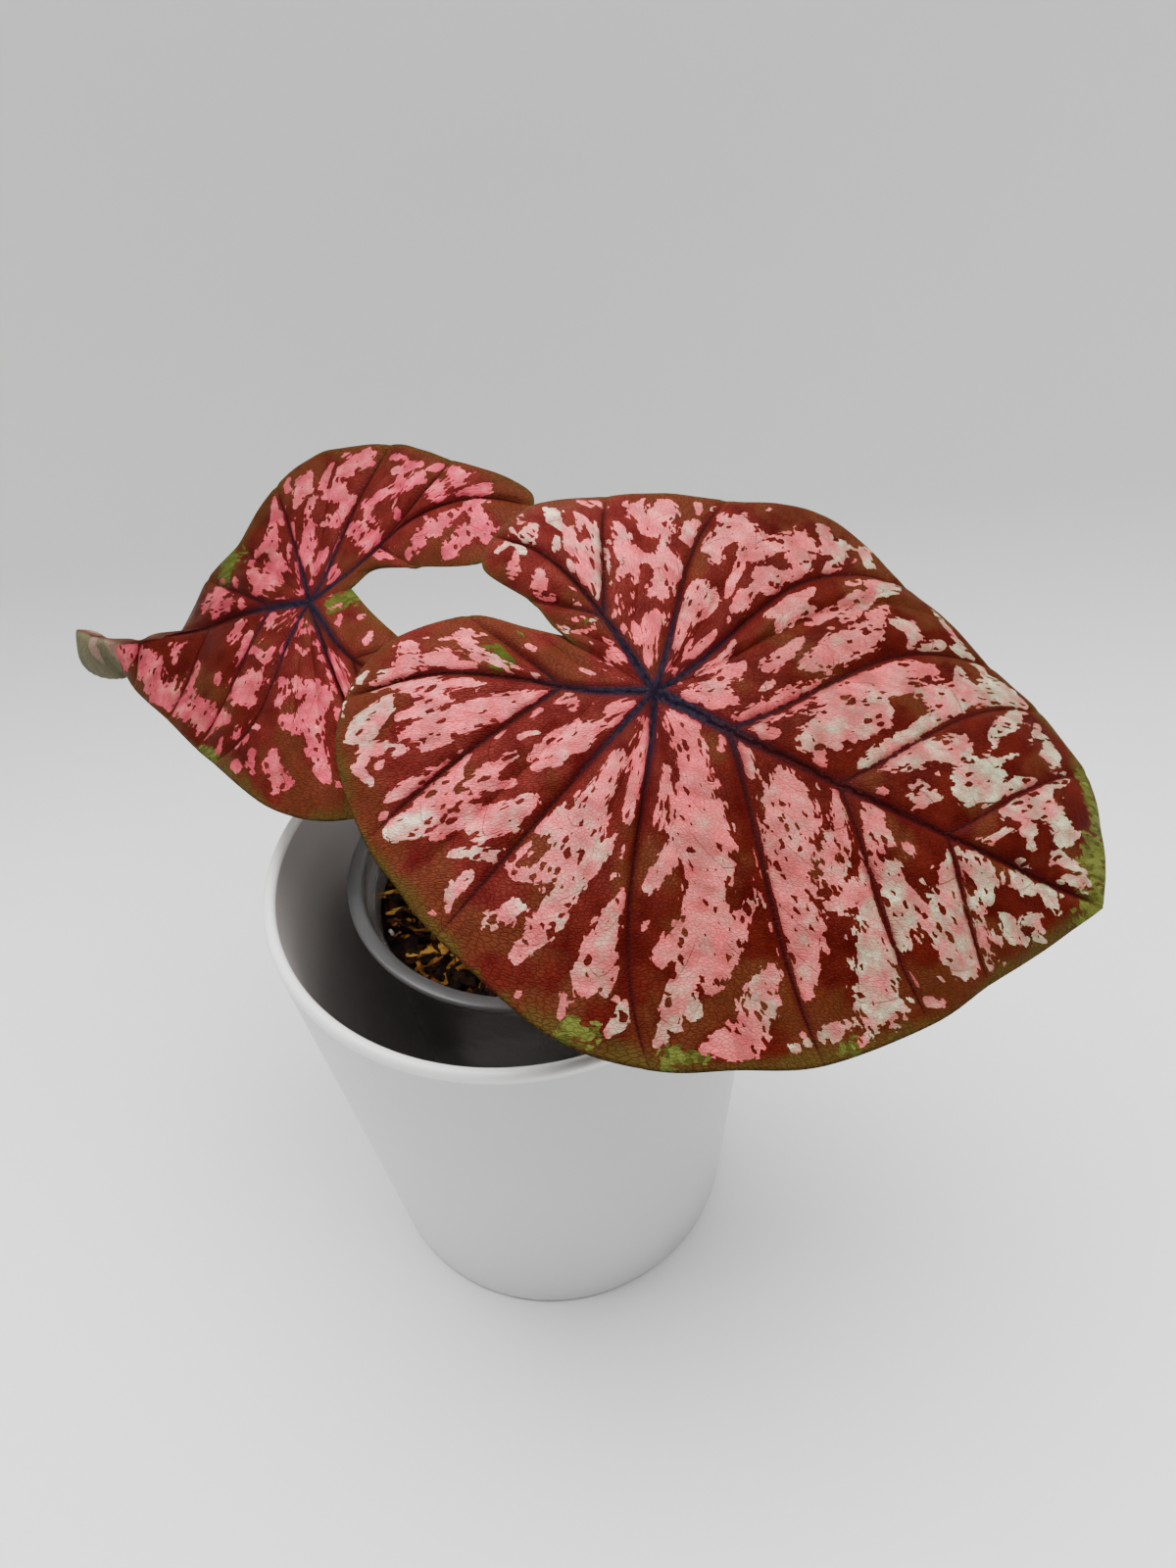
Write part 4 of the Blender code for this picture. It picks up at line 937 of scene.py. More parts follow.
                (0.40, ((8.70, 0.36, 0.13), (8.42, 0.41, 0.24), (8.38, 0.50, 0.23), (8.42, 0.58, 0.22),
                 (8.60, 0.62, 0.14))),
                (0.60, ((8.10, 0.51, 0.08), (8.12, 0.56, 0.09))),
                (0.40, ((8.62, 0.52, 0.10), (8.85, 0.54, 0.10), (9.05, 0.55, 0.08))),
                (0.40, ((9.58, 0.31, 0.08), (9.40, 0.40, 0.13), (9.25, 0.47, 0.15),
                 (9.15, 0.54, 0.15))),
                (0.40, ((9.10, 0.38, 0.08), (9.15, 0.44, 0.08))),
                (0.40, ((9.60, 0.44, 0.06), (9.68, 0.55, 0.10), (9.55, 0.60, 0.16), (9.65, 0.68, 0.15),
                 (9.75, 0.72, 0.05))),
                (0.40, ((9.45, 0.49, 0.10), (9.35, 0.54, 0.11))),
                (0.60, ((8.05, 0.70, 0.06), (8.22, 0.75, 0.19), (8.15, 0.80, 0.13))),
                (0.45, ((8.55, 0.66, 0.12), (8.62, 0.72, 0.10), (8.85, 0.77, 0.26), (8.80, 0.84, 0.28),
                 (8.85, 0.90, 0.15))),
                (0.45, ((8.85, 0.69, 0.10), (9.05, 0.72, 0.15), (9.15, 0.78, 0.14), (9.38, 0.82, 0.15),
                 (9.32, 0.88, 0.11))),
                (0.50, ((8.22, 0.89, 0.05), (8.30, 0.94, 0.07))),
                (0.40, ((9.62, 0.89, 0.05), (9.62, 0.92, 0.05))),
                (0.40, ((9.32, 0.93, 0.04), (9.32, 0.95, 0.04))),
                (0.80, ((8.02, 0.94, 0.05), (8.05, 0.93, 0.04))),
                (0.75, ((10.15, 0.06, 0.05), (10.10, 0.22, 0.14), (10.00, 0.36, 0.12),
                 (10.02, 0.48, 0.11), (10.10, 0.60, 0.11), (10.15, 0.68, 0.06))),
                (0.45, ((10.38, 0.04, 0.05), (10.30, 0.17, 0.11), (10.28, 0.30, 0.14),
                 (10.25, 0.42, 0.12))),
                (0.50, ((10.60, 0.26, 0.05), (10.55, 0.40, 0.08), (10.58, 0.52, 0.08))),
                (0.75, ((10.65, 0.02, 0.04), (10.60, 0.14, 0.04))),
                (0.75, ((10.85, 0.16, 0.04), (10.78, 0.34, 0.05))),
                (0.40, ((10.38, 0.58, 0.06), (10.32, 0.68, 0.10), (10.40, 0.74, 0.05))),
                (0.95, ((10.68, 0.50, 0.06), (10.78, 0.62, 0.13), (10.75, 0.76, 0.12),
                 (10.85, 0.84, 0.05))),
                (0.40, ((10.00, 0.87, 0.05), (10.05, 0.90, 0.09), (10.18, 0.94, 0.05))),
                (0.40, ((10.25, 0.88, 0.05), (10.40, 0.98, 0.05))),
                (0.90, ((11.35, 0.02, 0.06), (11.32, 0.28, 0.13), (11.15, 0.46, 0.10),
                 (11.20, 0.52, 0.05))),
                (0.75, ((11.70, 0.15, 0.05), (11.60, 0.45, 0.05), (11.55, 0.60, 0.04))),
                (0.70, ((11.35, 0.60, 0.05), (11.35, 0.85, 0.05))),
                (0.35, ((12.00, 0.00, 0.13), (12.00, 1.00, 0.11))),
                (0.85, ((12.45, 0.02, 0.06), (12.62, 0.12, 0.09), (12.80, 0.28, 0.07))),
                (0.75, ((12.30, 0.05, 0.04), (12.50, 0.40, 0.06), (12.65, 0.70, 0.05))),
                (0.35, ((12.85, 0.40, 0.06), (13.05, 0.55, 0.10), (13.20, 0.74, 0.05))),
                (0.35, ((13.30, 0.36, 0.06), (13.55, 0.55, 0.09), (13.85, 0.80, 0.05))),
                (0.35, ((13.20, 0.60, 0.04), (13.35, 0.80, 0.04))),
                (0.90, ((14.25, 0.20, 0.05), (14.33, 0.30, 0.05))),
                (0.35, ((13.90, 0.24, 0.04), (13.95, 0.36, 0.04))),
                (0.35, ((14.35, 0.42, 0.06), (14.50, 0.58, 0.05))),
                (0.40, ((14.60, 0.34, 0.04), (14.85, 0.55, 0.05), (15.00, 0.75, 0.04))),
                (0.15, ((15.15, 0.12, 0.13), (15.25, 0.30, 0.11))),
                (0.15, ((14.90, 0.20, 0.06), (14.85, 0.28, 0.05))),
                (0.90, ((15.05, 0.83, 0.12), (14.80, 0.92, 0.06))),
                (0.40, ((13.85, 0.60, 0.05), (13.95, 0.80, 0.05))),
            ),
            "limes": (
                (1.00, ((0.15, 0.00, 0.28), (0.15, 1.00, 0.28))),
                (1.00, ((0.60, 0.60, 0.30), (0.95, 0.85, 0.35))),
                (1.00, ((1.30, 0.95, 0.12), (2.00, 0.96, 0.10))),
                (0.40, ((14.30, 0.34, 0.05), (14.42, 0.40, 0.05))),
            ),
        },
    ),
}
BACK_LEAF = {
    "name": "back",
    "colouring": ((0.62, 0.060, 0.105), 0.5, 1, 0.35),
    "vein_size": 0.72,
    "hub": (-47, 47, 195),
    "turn": (158, 14, -22),
    "midrib": ((0, 0, 0), (20, 0, -2), (44, 3, -5), (70, 5, -4), (92, -2, -7)),
    "halves": (
        {
            "side": 1,
            "basal": ((0, 0, 0), (-14, 14, 0), (-26, 22, -1), (-39, 30, -4), (-51, 36, -9)),
            "ribs": (
                (1.00, 92, -2, -7, 0, 0.0),
                (0.85, 80, 1, -9, 0, 0.0),
                (0.65, 63, 17, -10, 1, 0.4),
                (0.42, 45, 28, -9, 2, 0.5),
                (0.17, 31, 37, -9, 3, 0.4),
                (0.00, 22, 42, -8, 7, 1.0),
                (0.00, 0, 54, -8, 4, 0.0),
                (0.00, -17, 57, -10, 2, 0.0),
                (0.00, -31, 54, -10, 2, 1.0),
                (-0.17, -35, 52, -10, 1, 0.0),
                (-0.35, -38, 50, -10, 0, 0.8),
                (-0.70, -46, 45, -10, 0, 0.0),
                (-1.00, -51, 36, -9, 0, 0.0),
                (-0.70, -46, 24, -6, 0, 0.0),
                (-0.35, -32, 13, -2, 0, 0.4),
                (-0.17, -20, 4, -1, 0, 0.0),
                (0.00, -11, -4, -1, 0, 0.0),
            ),
            "patches": (
                (0.40, ((0.70, 0.20, 0.20), (0.70, 0.70, 0.20))),
                (0.35, ((1.40, 0.12, 0.12), (1.75, 0.48, 0.16))),
                (0.35, ((1.95, 0.20, 0.08), (2.10, 0.45, 0.13), (2.35, 0.65, 0.18),
                 (2.60, 0.80, 0.20))),
                (0.35, ((2.60, 0.80, 0.18), (3.10, 0.79, 0.20), (3.50, 0.81, 0.20), (3.85, 0.81, 0.22),
                 (4.15, 0.77, 0.17), (4.50, 0.75, 0.08))),
                (0.40, ((2.65, 0.20, 0.05), (2.68, 0.32, 0.05))),
                (0.30, ((2.68, 0.35, 0.05), (2.70, 0.42, 0.04))),
                (0.35, ((3.08, 0.45, 0.08), (3.10, 0.55, 0.12), (3.15, 0.57, 0.08))),
                (0.35, ((3.62, 0.13, 0.09), (3.62, 0.22, 0.09))),
                (0.30, ((3.90, 0.20, 0.06), (3.95, 0.32, 0.08), (3.90, 0.40, 0.07))),
                (0.35, ((4.05, 0.31, 0.06), (4.40, 0.33, 0.07), (4.68, 0.36, 0.12),
                 (4.75, 0.30, 0.05))),
                (0.25, ((4.15, 0.09, 0.12), (4.20, 0.12, 0.10))),
                (0.20, ((4.70, 0.03, 0.10), (4.80, 0.06, 0.08))),
                (0.35, ((3.70, 0.54, 0.06), (3.72, 0.56, 0.05))),
                (0.40, ((4.45, 0.50, 0.13), (4.60, 0.52, 0.24), (4.20, 0.56, 0.21),
                 (4.70, 0.59, 0.14))),
                (0.20, ((5.05, 0.10, 0.14), (5.40, 0.13, 0.22), (5.75, 0.12, 0.16))),
                (0.20, ((5.05, 0.30, 0.12), (5.25, 0.31, 0.14))),
                (0.15, ((6.05, 0.16, 0.16), (6.60, 0.16, 0.16), (7.20, 0.14, 0.15),
                 (7.90, 0.17, 0.13))),
                (0.25, ((5.75, 0.25, 0.06), (6.40, 0.28, 0.10), (6.85, 0.25, 0.08))),
                (0.25, ((7.40, 0.22, 0.15), (7.75, 0.24, 0.13))),
                (0.35, ((6.00, 0.42, 0.20), (6.40, 0.46, 0.36), (7.00, 0.44, 0.36),
                 (7.20, 0.52, 0.34))),
                (0.35, ((5.50, 0.46, 0.12), (5.70, 0.50, 0.13), (5.55, 0.57, 0.08))),
                (0.35, ((7.00, 0.52, 0.34), (6.60, 0.56, 0.36), (6.45, 0.62, 0.30),
                 (5.80, 0.63, 0.14))),
                (0.35, ((6.90, 0.60, 0.30), (6.85, 0.70, 0.25), (6.98, 0.78, 0.20),
                 (7.05, 0.82, 0.13))),
                (0.40, ((5.00, 0.71, 0.06), (5.30, 0.72, 0.06))),
                (0.35, ((4.85, 0.77, 0.07), (5.00, 0.83, 0.09))),
                (0.35, ((5.15, 0.79, 0.06), (5.20, 0.81, 0.05))),
                (0.35, ((4.70, 0.87, 0.07), (4.85, 0.92, 0.06))),
                (0.35, ((5.35, 0.93, 0.05), (5.35, 0.95, 0.05))),
                (0.35, ((5.45, 0.84, 0.05), (5.45, 0.86, 0.05))),
                (0.35, ((5.78, 0.79, 0.06), (5.80, 0.84, 0.10), (6.05, 0.88, 0.16),
                 (6.30, 0.88, 0.07))),
                (0.35, ((5.50, 0.88, 0.04), (5.55, 0.91, 0.04))),
                (0.35, ((7.30, 0.86, 0.04), (7.35, 0.88, 0.04))),
                (0.30, ((8.10, 0.30, 0.18), (8.60, 0.38, 0.26), (8.40, 0.50, 0.16))),
                (0.35, ((7.75, 0.60, 0.20), (8.10, 0.70, 0.20), (8.55, 0.72, 0.14))),
                (0.50, ((8.30, 0.86, 0.16), (8.60, 0.90, 0.10))),
                (0.40, ((9.20, 0.35, 0.10), (9.35, 0.55, 0.20), (9.55, 0.70, 0.12))),
                (0.50, ((9.40, 0.82, 0.14), (9.65, 0.86, 0.10))),
                (0.40, ((10.20, 0.20, 0.08), (10.30, 0.40, 0.15), (10.45, 0.60, 0.13),
                 (10.40, 0.76, 0.10))),
                (0.50, ((11.20, 0.25, 0.08), (11.30, 0.55, 0.16), (11.35, 0.80, 0.10))),
                (0.40, ((12.30, 0.10, 0.06), (12.40, 0.45, 0.14), (12.50, 0.70, 0.08))),
                (0.40, ((12.90, 0.60, 0.10), (12.95, 0.85, 0.08))),
                (0.35, ((13.40, 0.20, 0.06), (13.60, 0.50, 0.08))),
                (0.40, ((14.30, 0.45, 0.07), (14.45, 0.65, 0.06))),
                (0.30, ((15.15, 0.30, 0.06), (15.25, 0.40, 0.05))),
                (0.50, ((15.00, 0.72, 0.05), (15.00, 0.84, 0.05))),
            ),
            "limes": (
                (1.00, ((4.20, 0.975, 0.09), (4.90, 0.97, 0.11))),
                (0.60, ((15.70, 0.50, 0.20), (15.70, 0.90, 0.22))),
                (0.60, ((15.55, 0.36, 0.12), (15.65, 0.46, 0.12))),
            ),
        },
        {
            "side": -1,
            "basal": ((0, 0, 0), (-12, -11, 0), (-25, -21, 2), (-42, -26, 2), (-59, -24, 0)),
            "ribs": (
                (1.00, 92, -2, -7, 0, 0.0),
                (0.85, 92, 6, -15, 0, 0.0),
                (0.65, 77, 9, -17, 0, 0.4),
                (0.42, 58, 0, -13, 0, 0.5),
                (0.17, 44, -14, -5, 0, 0.4),
                (0.00, 32, -21, 0, 0, 0.0),
                (0.00, 22, -37, 4, 0, 1.0),
                (0.00, 8, -46, 5, 2, 0.0),
                (0.00, -14, -45, 5, -2, 1.0),
                (-0.17, -24, -42, 5, 1, 0.0),
                (-0.35, -34, -38, 4, 0, 0.8),
                (-0.70, -52, -31, 2, 0, 0.0),
                (-1.00, -59, -24, 0, 0, 0.0),
                (-0.70, -50, -8, 0, 0, 0.0),
                (-0.35, -30, -8, 0, 0, 0.4),
                (-0.17, -17, -9, -1, 0, 0.0),
                (0.00, -11, -4, -1, 0, 0.0),
            ),
            "patches": (
                (0.35, ((1.12, 0.08, 0.06), (1.25, 0.25, 0.13), (1.38, 0.45, 0.10))),
                (0.20, ((1.40, 0.02, 0.10), (1.60, 0.15, 0.10), (1.85, 0.30, 0.06))),
                (0.10, ((1.98, 0.35, 0.05), (2.15, 0.60, 0.09), (2.30, 0.85, 0.11),
                 (2.35, 1.00, 0.10))),
                (0.35, ((2.70, 0.65, 0.05), (2.80, 0.85, 0.06), (2.95, 1.00, 0.05))),
                (0.25, ((3.15, 0.05, 0.04), (3.35, 0.25, 0.06))),
                (0.40, ((3.35, 0.28, 0.06), (3.55, 0.45, 0.11), (3.75, 0.60, 0.14),
                 (3.95, 0.75, 0.11))),
                (0.40, ((3.55, 0.25, 0.06), (3.75, 0.40, 0.06))),
                (0.50, ((3.45, 0.60, 0.06), (3.70, 0.76, 0.08))),
                (0.20, ((3.65, 0.13, 0.05), (3.85, 0.30, 0.05))),
                (0.30, ((4.15, 0.31, 0.08), (4.50, 0.40, 0.17), (4.90, 0.46, 0.32),
                 (5.00, 0.53, 0.18))),
                (0.35, ((4.55, 0.45, 0.16), (4.70, 0.60, 0.13), (4.85, 0.72, 0.10))),
                (0.35, ((5.30, 0.40, 0.12), (5.40, 0.52, 0.13), (5.35, 0.60, 0.10))),
                (0.30, ((5.50, 0.60, 0.11), (5.35, 0.70, 0.10), (5.10, 0.76, 0.08))),
                (0.30, ((5.50, 0.62, 0.11), (5.65, 0.72, 0.11), (5.75, 0.80, 0.06))),
                (0.35, ((4.15, 0.58, 0.08), (4.25, 0.66, 0.06))),
                (0.35, ((5.72, 0.42, 0.06), (5.90, 0.50, 0.08))),
                (0.35, ((6.02, 0.53, 0.09), (6.10, 0.62, 0.09))),
                (0.35, ((5.92, 0.70, 0.08), (6.00, 0.78, 0.09))),
                (0.35, ((5.80, 0.82, 0.06), (5.88, 0.90, 0.07))),
                (0.35, ((6.20, 0.88, 0.05), (6.24, 0.97, 0.06))),
                (0.00, ((5.10, 0.12, 0.14), (5.60, 0.11, 0.26), (6.20, 0.12, 0.26),
                 (6.80, 0.13, 0.16))),
                (0.10, ((5.10, 0.06, 0.10), (5.50, 0.05, 0.14))),
                (0.20, ((5.60, 0.20, 0.06), (5.85, 0.32, 0.08), (6.05, 0.40, 0.09))),
                (0.25, ((6.20, 0.26, 0.14), (6.40, 0.34, 0.27), (6.50, 0.42, 0.24), (6.65, 0.50, 0.13),
                 (6.60, 0.60, 0.10), (6.72, 0.70, 0.06))),
                (0.20, ((7.10, 0.18, 0.14), (7.30, 0.26, 0.28), (7.10, 0.31, 0.13))),
                (0.20, ((7.30, 0.28, 0.16), (7.50, 0.31, 0.18))),
                (0.45, ((6.95, 0.50, 0.08), (7.25, 0.51, 0.20), (7.60, 0.50, 0.17), (7.72, 0.58, 0.16),
                 (7.65, 0.64, 0.17), (7.35, 0.69, 0.17), (7.00, 0.69, 0.11))),
                (0.50, ((7.35, 0.69, 0.14), (7.25, 0.78, 0.06))),
                (0.65, ((6.40, 0.74, 0.13), (6.50, 0.80, 0.22), (6.62, 0.86, 0.11))),
                (0.40, ((6.90, 0.76, 0.07), (7.05, 0.86, 0.07), (7.15, 0.90, 0.04))),
                (0.50, ((7.35, 0.85, 0.10), (7.55, 0.88, 0.17), (7.70, 0.93, 0.11))),
                (0.35, ((7.20, 0.78, 0.04), (7.90, 0.88, 0.05))),
                (0.20, ((7.85, 0.20, 0.05), (7.90, 0.40, 0.04))),
                (0.60, ((7.90, 0.62, 0.06), (7.90, 0.66, 0.05))),
                (0.05, ((8.60, 0.03, 0.08), (8.45, 0.12, 0.12), (8.20, 0.18, 0.06))),
                (0.30, ((9.60, 0.06, 0.05), (9.30, 0.18, 0.13), (9.10, 0.30, 0.17), (8.70, 0.36, 0.28),
                 (8.30, 0.42, 0.17), (8.05, 0.44, 0.10))),
                (0.60, ((9.75, 0.12, 0.07), (9.45, 0.24, 0.11), (9.15, 0.35, 0.09))),
                (0.30, ((8.80, 0.45, 0.10), (8.55, 0.50, 0.11), (8.50, 0.58, 0.13),
                 (8.25, 0.60, 0.08))),
                (0.35, ((8.62, 0.62, 0.13), (8.90, 0.72, 0.11), (8.85, 0.78, 0.08))),
                (0.40, ((9.00, 0.70, 0.13), (9.35, 0.70, 0.22), (9.60, 0.76, 0.19),
                 (9.80, 0.74, 0.08))),
                (0.30, ((9.90, 0.33, 0.06), (9.70, 0.42, 0.08), (9.40, 0.50, 0.08),
                 (9.20, 0.58, 0.08))),
                (0.80, ((8.60, 0.82, 0.11), (8.78, 0.83, 0.11))),
                (0.35, ((8.90, 0.86, 0.12), (9.35, 0.88, 0.12))),
                (0.30, ((8.30, 0.91, 0.08), (8.75, 0.91, 0.06))),
                (0.30, ((9.80, 0.86, 0.06), (9.92, 0.92, 0.09))),
                (0.25, ((10.60, 0.28, 0.05), (10.45, 0.45, 0.09), (10.25, 0.60, 0.12),
                 (10.10, 0.72, 0.06))),
                (0.20, ((10.55, 0.66, 0.06), (10.40, 0.78, 0.11), (10.20, 0.90, 0.08))),
                (0.35, ((11.30, 0.02, 0.11), (11.20, 0.25, 0.11), (11.05, 0.50, 0.08),
                 (10.95, 0.62, 0.04))),
                (0.30, ((12.80, 0.00, 0.14), (12.85, 0.20, 0.10), (12.85, 0.40, 0.10),
                 (12.85, 0.60, 0.14), (12.80, 0.80, 0.08))),
                (0.35, ((13.05, 0.20, 0.06), (13.40, 0.35, 0.12), (13.65, 0.45, 0.09))),
                (0.35, ((12.90, 0.45, 0.10), (13.15, 0.60, 0.12), (13.40, 0.74, 0.06))),
                (0.30, ((13.60, 0.50, 0.06), (13.85, 0.60, 0.06), (13.95, 0.72, 0.05))),
                (0.05, ((14.10, 0.00, 0.09), (14.10, 0.30, 0.15), (14.05, 0.45, 0.08))),
                (0.30, ((13.35, 0.76, 0.08), (13.45, 0.85, 0.05))),
            ),
            "limes": (
                (0.60, ((4.20, 0.80, 0.18), (4.60, 0.92, 0.35))),
            ),
        },
    ),
}


def blade_frame(leaf):
    """Matrix from a leaf's own frame, in millimetres, to the part's, in metres."""
    heading, dip, roll = (math.radians(angle) for angle in leaf["turn"])
    flat = Vector((math.cos(heading), math.sin(heading), 0)) * math.cos(dip)
    along = flat - Vector((0, 0, math.sin(dip)))
    level = Vector((-math.sin(heading), math.cos(heading), 0))
    across = Matrix.Rotation(roll, 3, along) @ level
    turn = Matrix((along, across, along.cross(across))).transposed()
    return Matrix.Scale(MM, 4) @ Matrix.Translation(leaf["hub"]) @ turn.to_4x4()


# Petioles
# Each leaf hangs from a slender leaf stalk, round and fleshy, mottled brown-green, that rises from
# the tuber's crown in a clasping sheath and flares where it enters the blade under the hub.
# Where each stalk stands in the crown, in millimetres from the nursery pot's axis.
PETIOLES = ((FRONT_LEAF, (4.4, -1.6)), (BACK_LEAF, (-4.2, 2.4)))
PETIOLE_BASE = 3.0 * MM
PETIOLE_TOP = 1.8 * MM
PETIOLE_TAPER = 0.7
PETIOLE_LEAN = 1.2
PETIOLE_RISE = 34.0 * MM
PETIOLE_ENTRY = 26.0 * MM
PETIOLE_INTO_HUB = 1.4 * MM
PETIOLE_STEPS = 96
PETIOLE_SIDES = 32
SOCKET_DEPTH = 7.0 * MM
SHEATH_LENGTH = 34.0 * MM
SHEATH_FADE = 0.8
SHEATH_RELIEF = 0.35 * MM
SHEATH_SLIT = 0.75 * MM
# Half the angle between the sheath's two edges, and how wide each slit is, in radians.
SLIT_PLACE = 0.25
SLIT_WIDTH = 0.3
FLARE = 0.7 * MM
FLARE_LENGTH = 2.2 * MM
FLUTES = 9
FLUTE_RELIEF = 0.02
# The blade's thickness where the stalk meets it, in millimetres.
HUB_THICKNESS = 2.6
STALK_STOPS = (0.32, 0.5, 0.66)
STALK = ((0.035, 0.020, 0.014), (0.10, 0.055, 0.035), (0.19, 0.13, 0.075))
STALK_TOP = ((0.05, 0.012, 0.014), (0.13, 0.03, 0.03), (0.24, 0.07, 0.05))

crown = tuber_centre + TUBER_HEIGHT / 2
for leaf, (base_x, base_y) in PETIOLES:
    lie = blade_frame(leaf)
    normal = (lie.to_3x3() @ Vector((0, 0, 1))).normalized()
    start = NURSERY_CENTRE + Vector((base_x * MM, base_y * MM, crown - SOCKET_DEPTH))
    end = lie.translation - normal * (HUB_THICKNESS * MM + GAP)
    lean = Vector((base_x, base_y, 0)) * PETIOLE_LEAN * MM
    rise = start + Vector((0, 0, PETIOLE_RISE)) + lean
    route = interpolate_bezier(start, rise, end - normal * PETIOLE_ENTRY, end, PETIOLE_STEPS)
    route.append(end + normal * PETIOLE_INTO_HUB)
    bpy.ops.object.select_all(action="DESELECT")
    bpy.ops.mesh.primitive_circle_add(vertices=PETIOLE_SIDES, radius=1.0, fill_type="NGON")
    stalk = new_piece(leaf["name"] + "_leaf_stalk")
    bpy.ops.object.mode_set(mode="EDIT")
    bpy.ops.mesh.select_all(action="SELECT")
    for i in range(len(route) - 1):
        bpy.ops.mesh.extrude_region_move(TRANSFORM_OT_translate={"value": (0, 0, 1)})
    bpy.ops.object.mode_set(mode="OBJECT")
    sideways = Vector((1, 0, 0))
    rings = []
    for i, spot in enumerate(route):
        ahead = (route[min(i + 1, len(route) - 1)] - route[max(i - 1, 0)]).normalized()
        sideways = (sideways - ahead * sideways.dot(ahead)).normalized()
        rings.append((spot, sideways, ahead.cross(sideways), (spot - start).length))
    span = (end - start).length
    for vertex in stalk.data.vertices:
        spot, one, two, gone = rings[round(vertex.co.z)]
        around = math.atan2(vertex.co.y, vertex.co.x)
        taper = min(1.0, gone / span) ** PETIOLE_TAPER
        radius = PETIOLE_BASE + (PETIOLE_TOP - PETIOLE_BASE) * taper
        sheath = max(0.0, 1 - gone / SHEATH_LENGTH) ** SHEATH_FADE
        slit = math.exp(-((abs(around) - SLIT_PLACE) / SLIT_WIDTH) ** 2)
        radius += sheath * (SHEATH_RELIEF - SHEATH_SLIT * slit)
        radius += FLARE * math.exp(-max(0.0, span - gone) / FLARE_LENGTH)
        radius *= 1 + FLUTE_RELIEF * math.sin(around * FLUTES)
        vertex.co = spot + (one * math.cos(around) + two * math.sin(around)) * radius
    bpy.ops.object.mode_set(mode="EDIT")
    finish_mesh(50)
    skin = Finish(leaf["name"] + "_stalk_skin", Roughness=0.42)
    height = skin.split(skin.place())[2]
    upward = skin.step(height, crown, end.z)
    streaks = skin.cloud(900.0, 4.0, skin.place((1, 1, 0.12)))
    mottle = skin.cloud(260.0, 3.0, skin.place((1, 1, 0.4)))
    both = skin.blend(streaks, mottle, 0.5)
    low, high = (skin.shade(both, *zip(STALK_STOPS, tones)) for tones in (STALK, STALK_TOP))
    skin.paint(Base_Color=skin.mix(upward, low, high), Normal=skin.bump(streaks, 0.00015))
    stalk.data.materials.append(skin.material)
    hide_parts(leaf["name"] + "_petiole")
    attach(stalk, "root")

# Blades
# The leaf blade is a thin waxy sheet that swells between its sunken veins and carries them as
# ridges underneath. It is a grid laid along the ribs: columns from spine to margin, closer beside
# the ribs, and rows along them. The two halves are joined, and the sheet gets its thickness.

# In millimetres, as the leaf's own frame.
SHEET_THICKNESS = 0.55
EDGE_THICKNESS = 0.35
EDGE_THICKENING = 0.35
HUB_RADIUS = 4.0
HUB_FILLET = 6.0
COLUMNS = 14
COLUMN_EASE = 0.08
ROWS = 64
ROW_EASE = 0.03
DROOP = 1.7
# With this, two thirds of the way out a rib stands off its chord by its bow.
BOW_SCALE = 6.75
QUILTING = 1.3
SMALL_QUILTING = 0.35
QUILTED_CHORD = 30.0
QUILTED_REACH = 25.0
SWELL_POWER = 0.8
SECONDARY_SPACING = 9.0
SECONDARY_RISE = 0.9
SECONDARY_CURVE = 1.4
VEIN_GROOVE = 0.35
GROOVE_WIDTH = 0.7
GROOVE_START = 8.0
VEIN_RELIEF = 1.0
RIDGE_WIDTH = 0.45
RIDGE_HEIGHTS = (0.25, 1.3)
MIDRIB_WIDTHS = (1.45, 0.36)
BASAL_WIDTHS = (0.9, 0.22)
LATERAL_STOPS = (0.0, 0.15, 0.8, 1.0)
LATERAL_WIDTHS = (0.62, 0.46, 0.32, 0.12)
LATERAL_POWER = 0.7
VEIN_STEPS = 60
VEIN_ROWS = 49
STIFF_REACH = 40.0
SWAY = 0.7
SWAY_LENGTH = 17.0
FLUTTER = 0.5
FLUTTER_LENGTH = 7.0
FLUTTER_POWER = 5
# The row where the way across the ribs is measured, and what keeps the halves' patterns apart.
MEASURED_ROW = 0.6
PATTERN_SHIFT = 300.0
MERGE = 0.02 * MM


def smooth_point(before, start, end, after, u):
    """Catmull-Rom point at u between start and end."""
    second = 2 * before - 5 * start + 4 * end - after
    third = 3 * start - before - 3 * end + after
    return 0.5 * (2 * start + (end - before) * u + second * u ** 2 + third * u ** 3)


def on_smooth_line(points, fraction):
    """Point at a fraction, from 0 to 1, of the smooth line through some points."""
    points = np.array(points, float)
    place = fraction * (len(points) - 1)
    i = min(int(place), len(points) - 2)
    before = points[i - 1] if i > 0 else 2 * points[0] - points[1]
    after = points[i + 2] if i + 2 < len(points) else 2 * points[-1] - points[-2]
    return smooth_point(before, points[i], points[i + 1], after, place - i)


def stations(ribs):
    """Every column of a half blade: (place among the ribs, root, margin point, bow)."""
    margin = [np.array(rib[1:4], float) for rib in ribs]
    for i in range(len(ribs) - 1):
        before = margin[i - 1] if i > 0 else 2 * margin[0] - margin[1]
        after = margin[i + 2] if i + 2 < len(ribs) else 2 * margin[-1] - margin[-2]
        last = i == len(ribs) - 2
        for k in range(COLUMNS + last):
            u = k / COLUMNS - COLUMN_EASE * math.sin(2 * math.pi * k / COLUMNS)
            root = ribs[i][0] + (ribs[i + 1][0] - ribs[i][0]) * u
            bow = ribs[i][4] + (ribs[i + 1][4] - ribs[i][4]) * u
            yield i + u, root, smooth_point(before, margin[i], margin[i + 1], after, u), bow


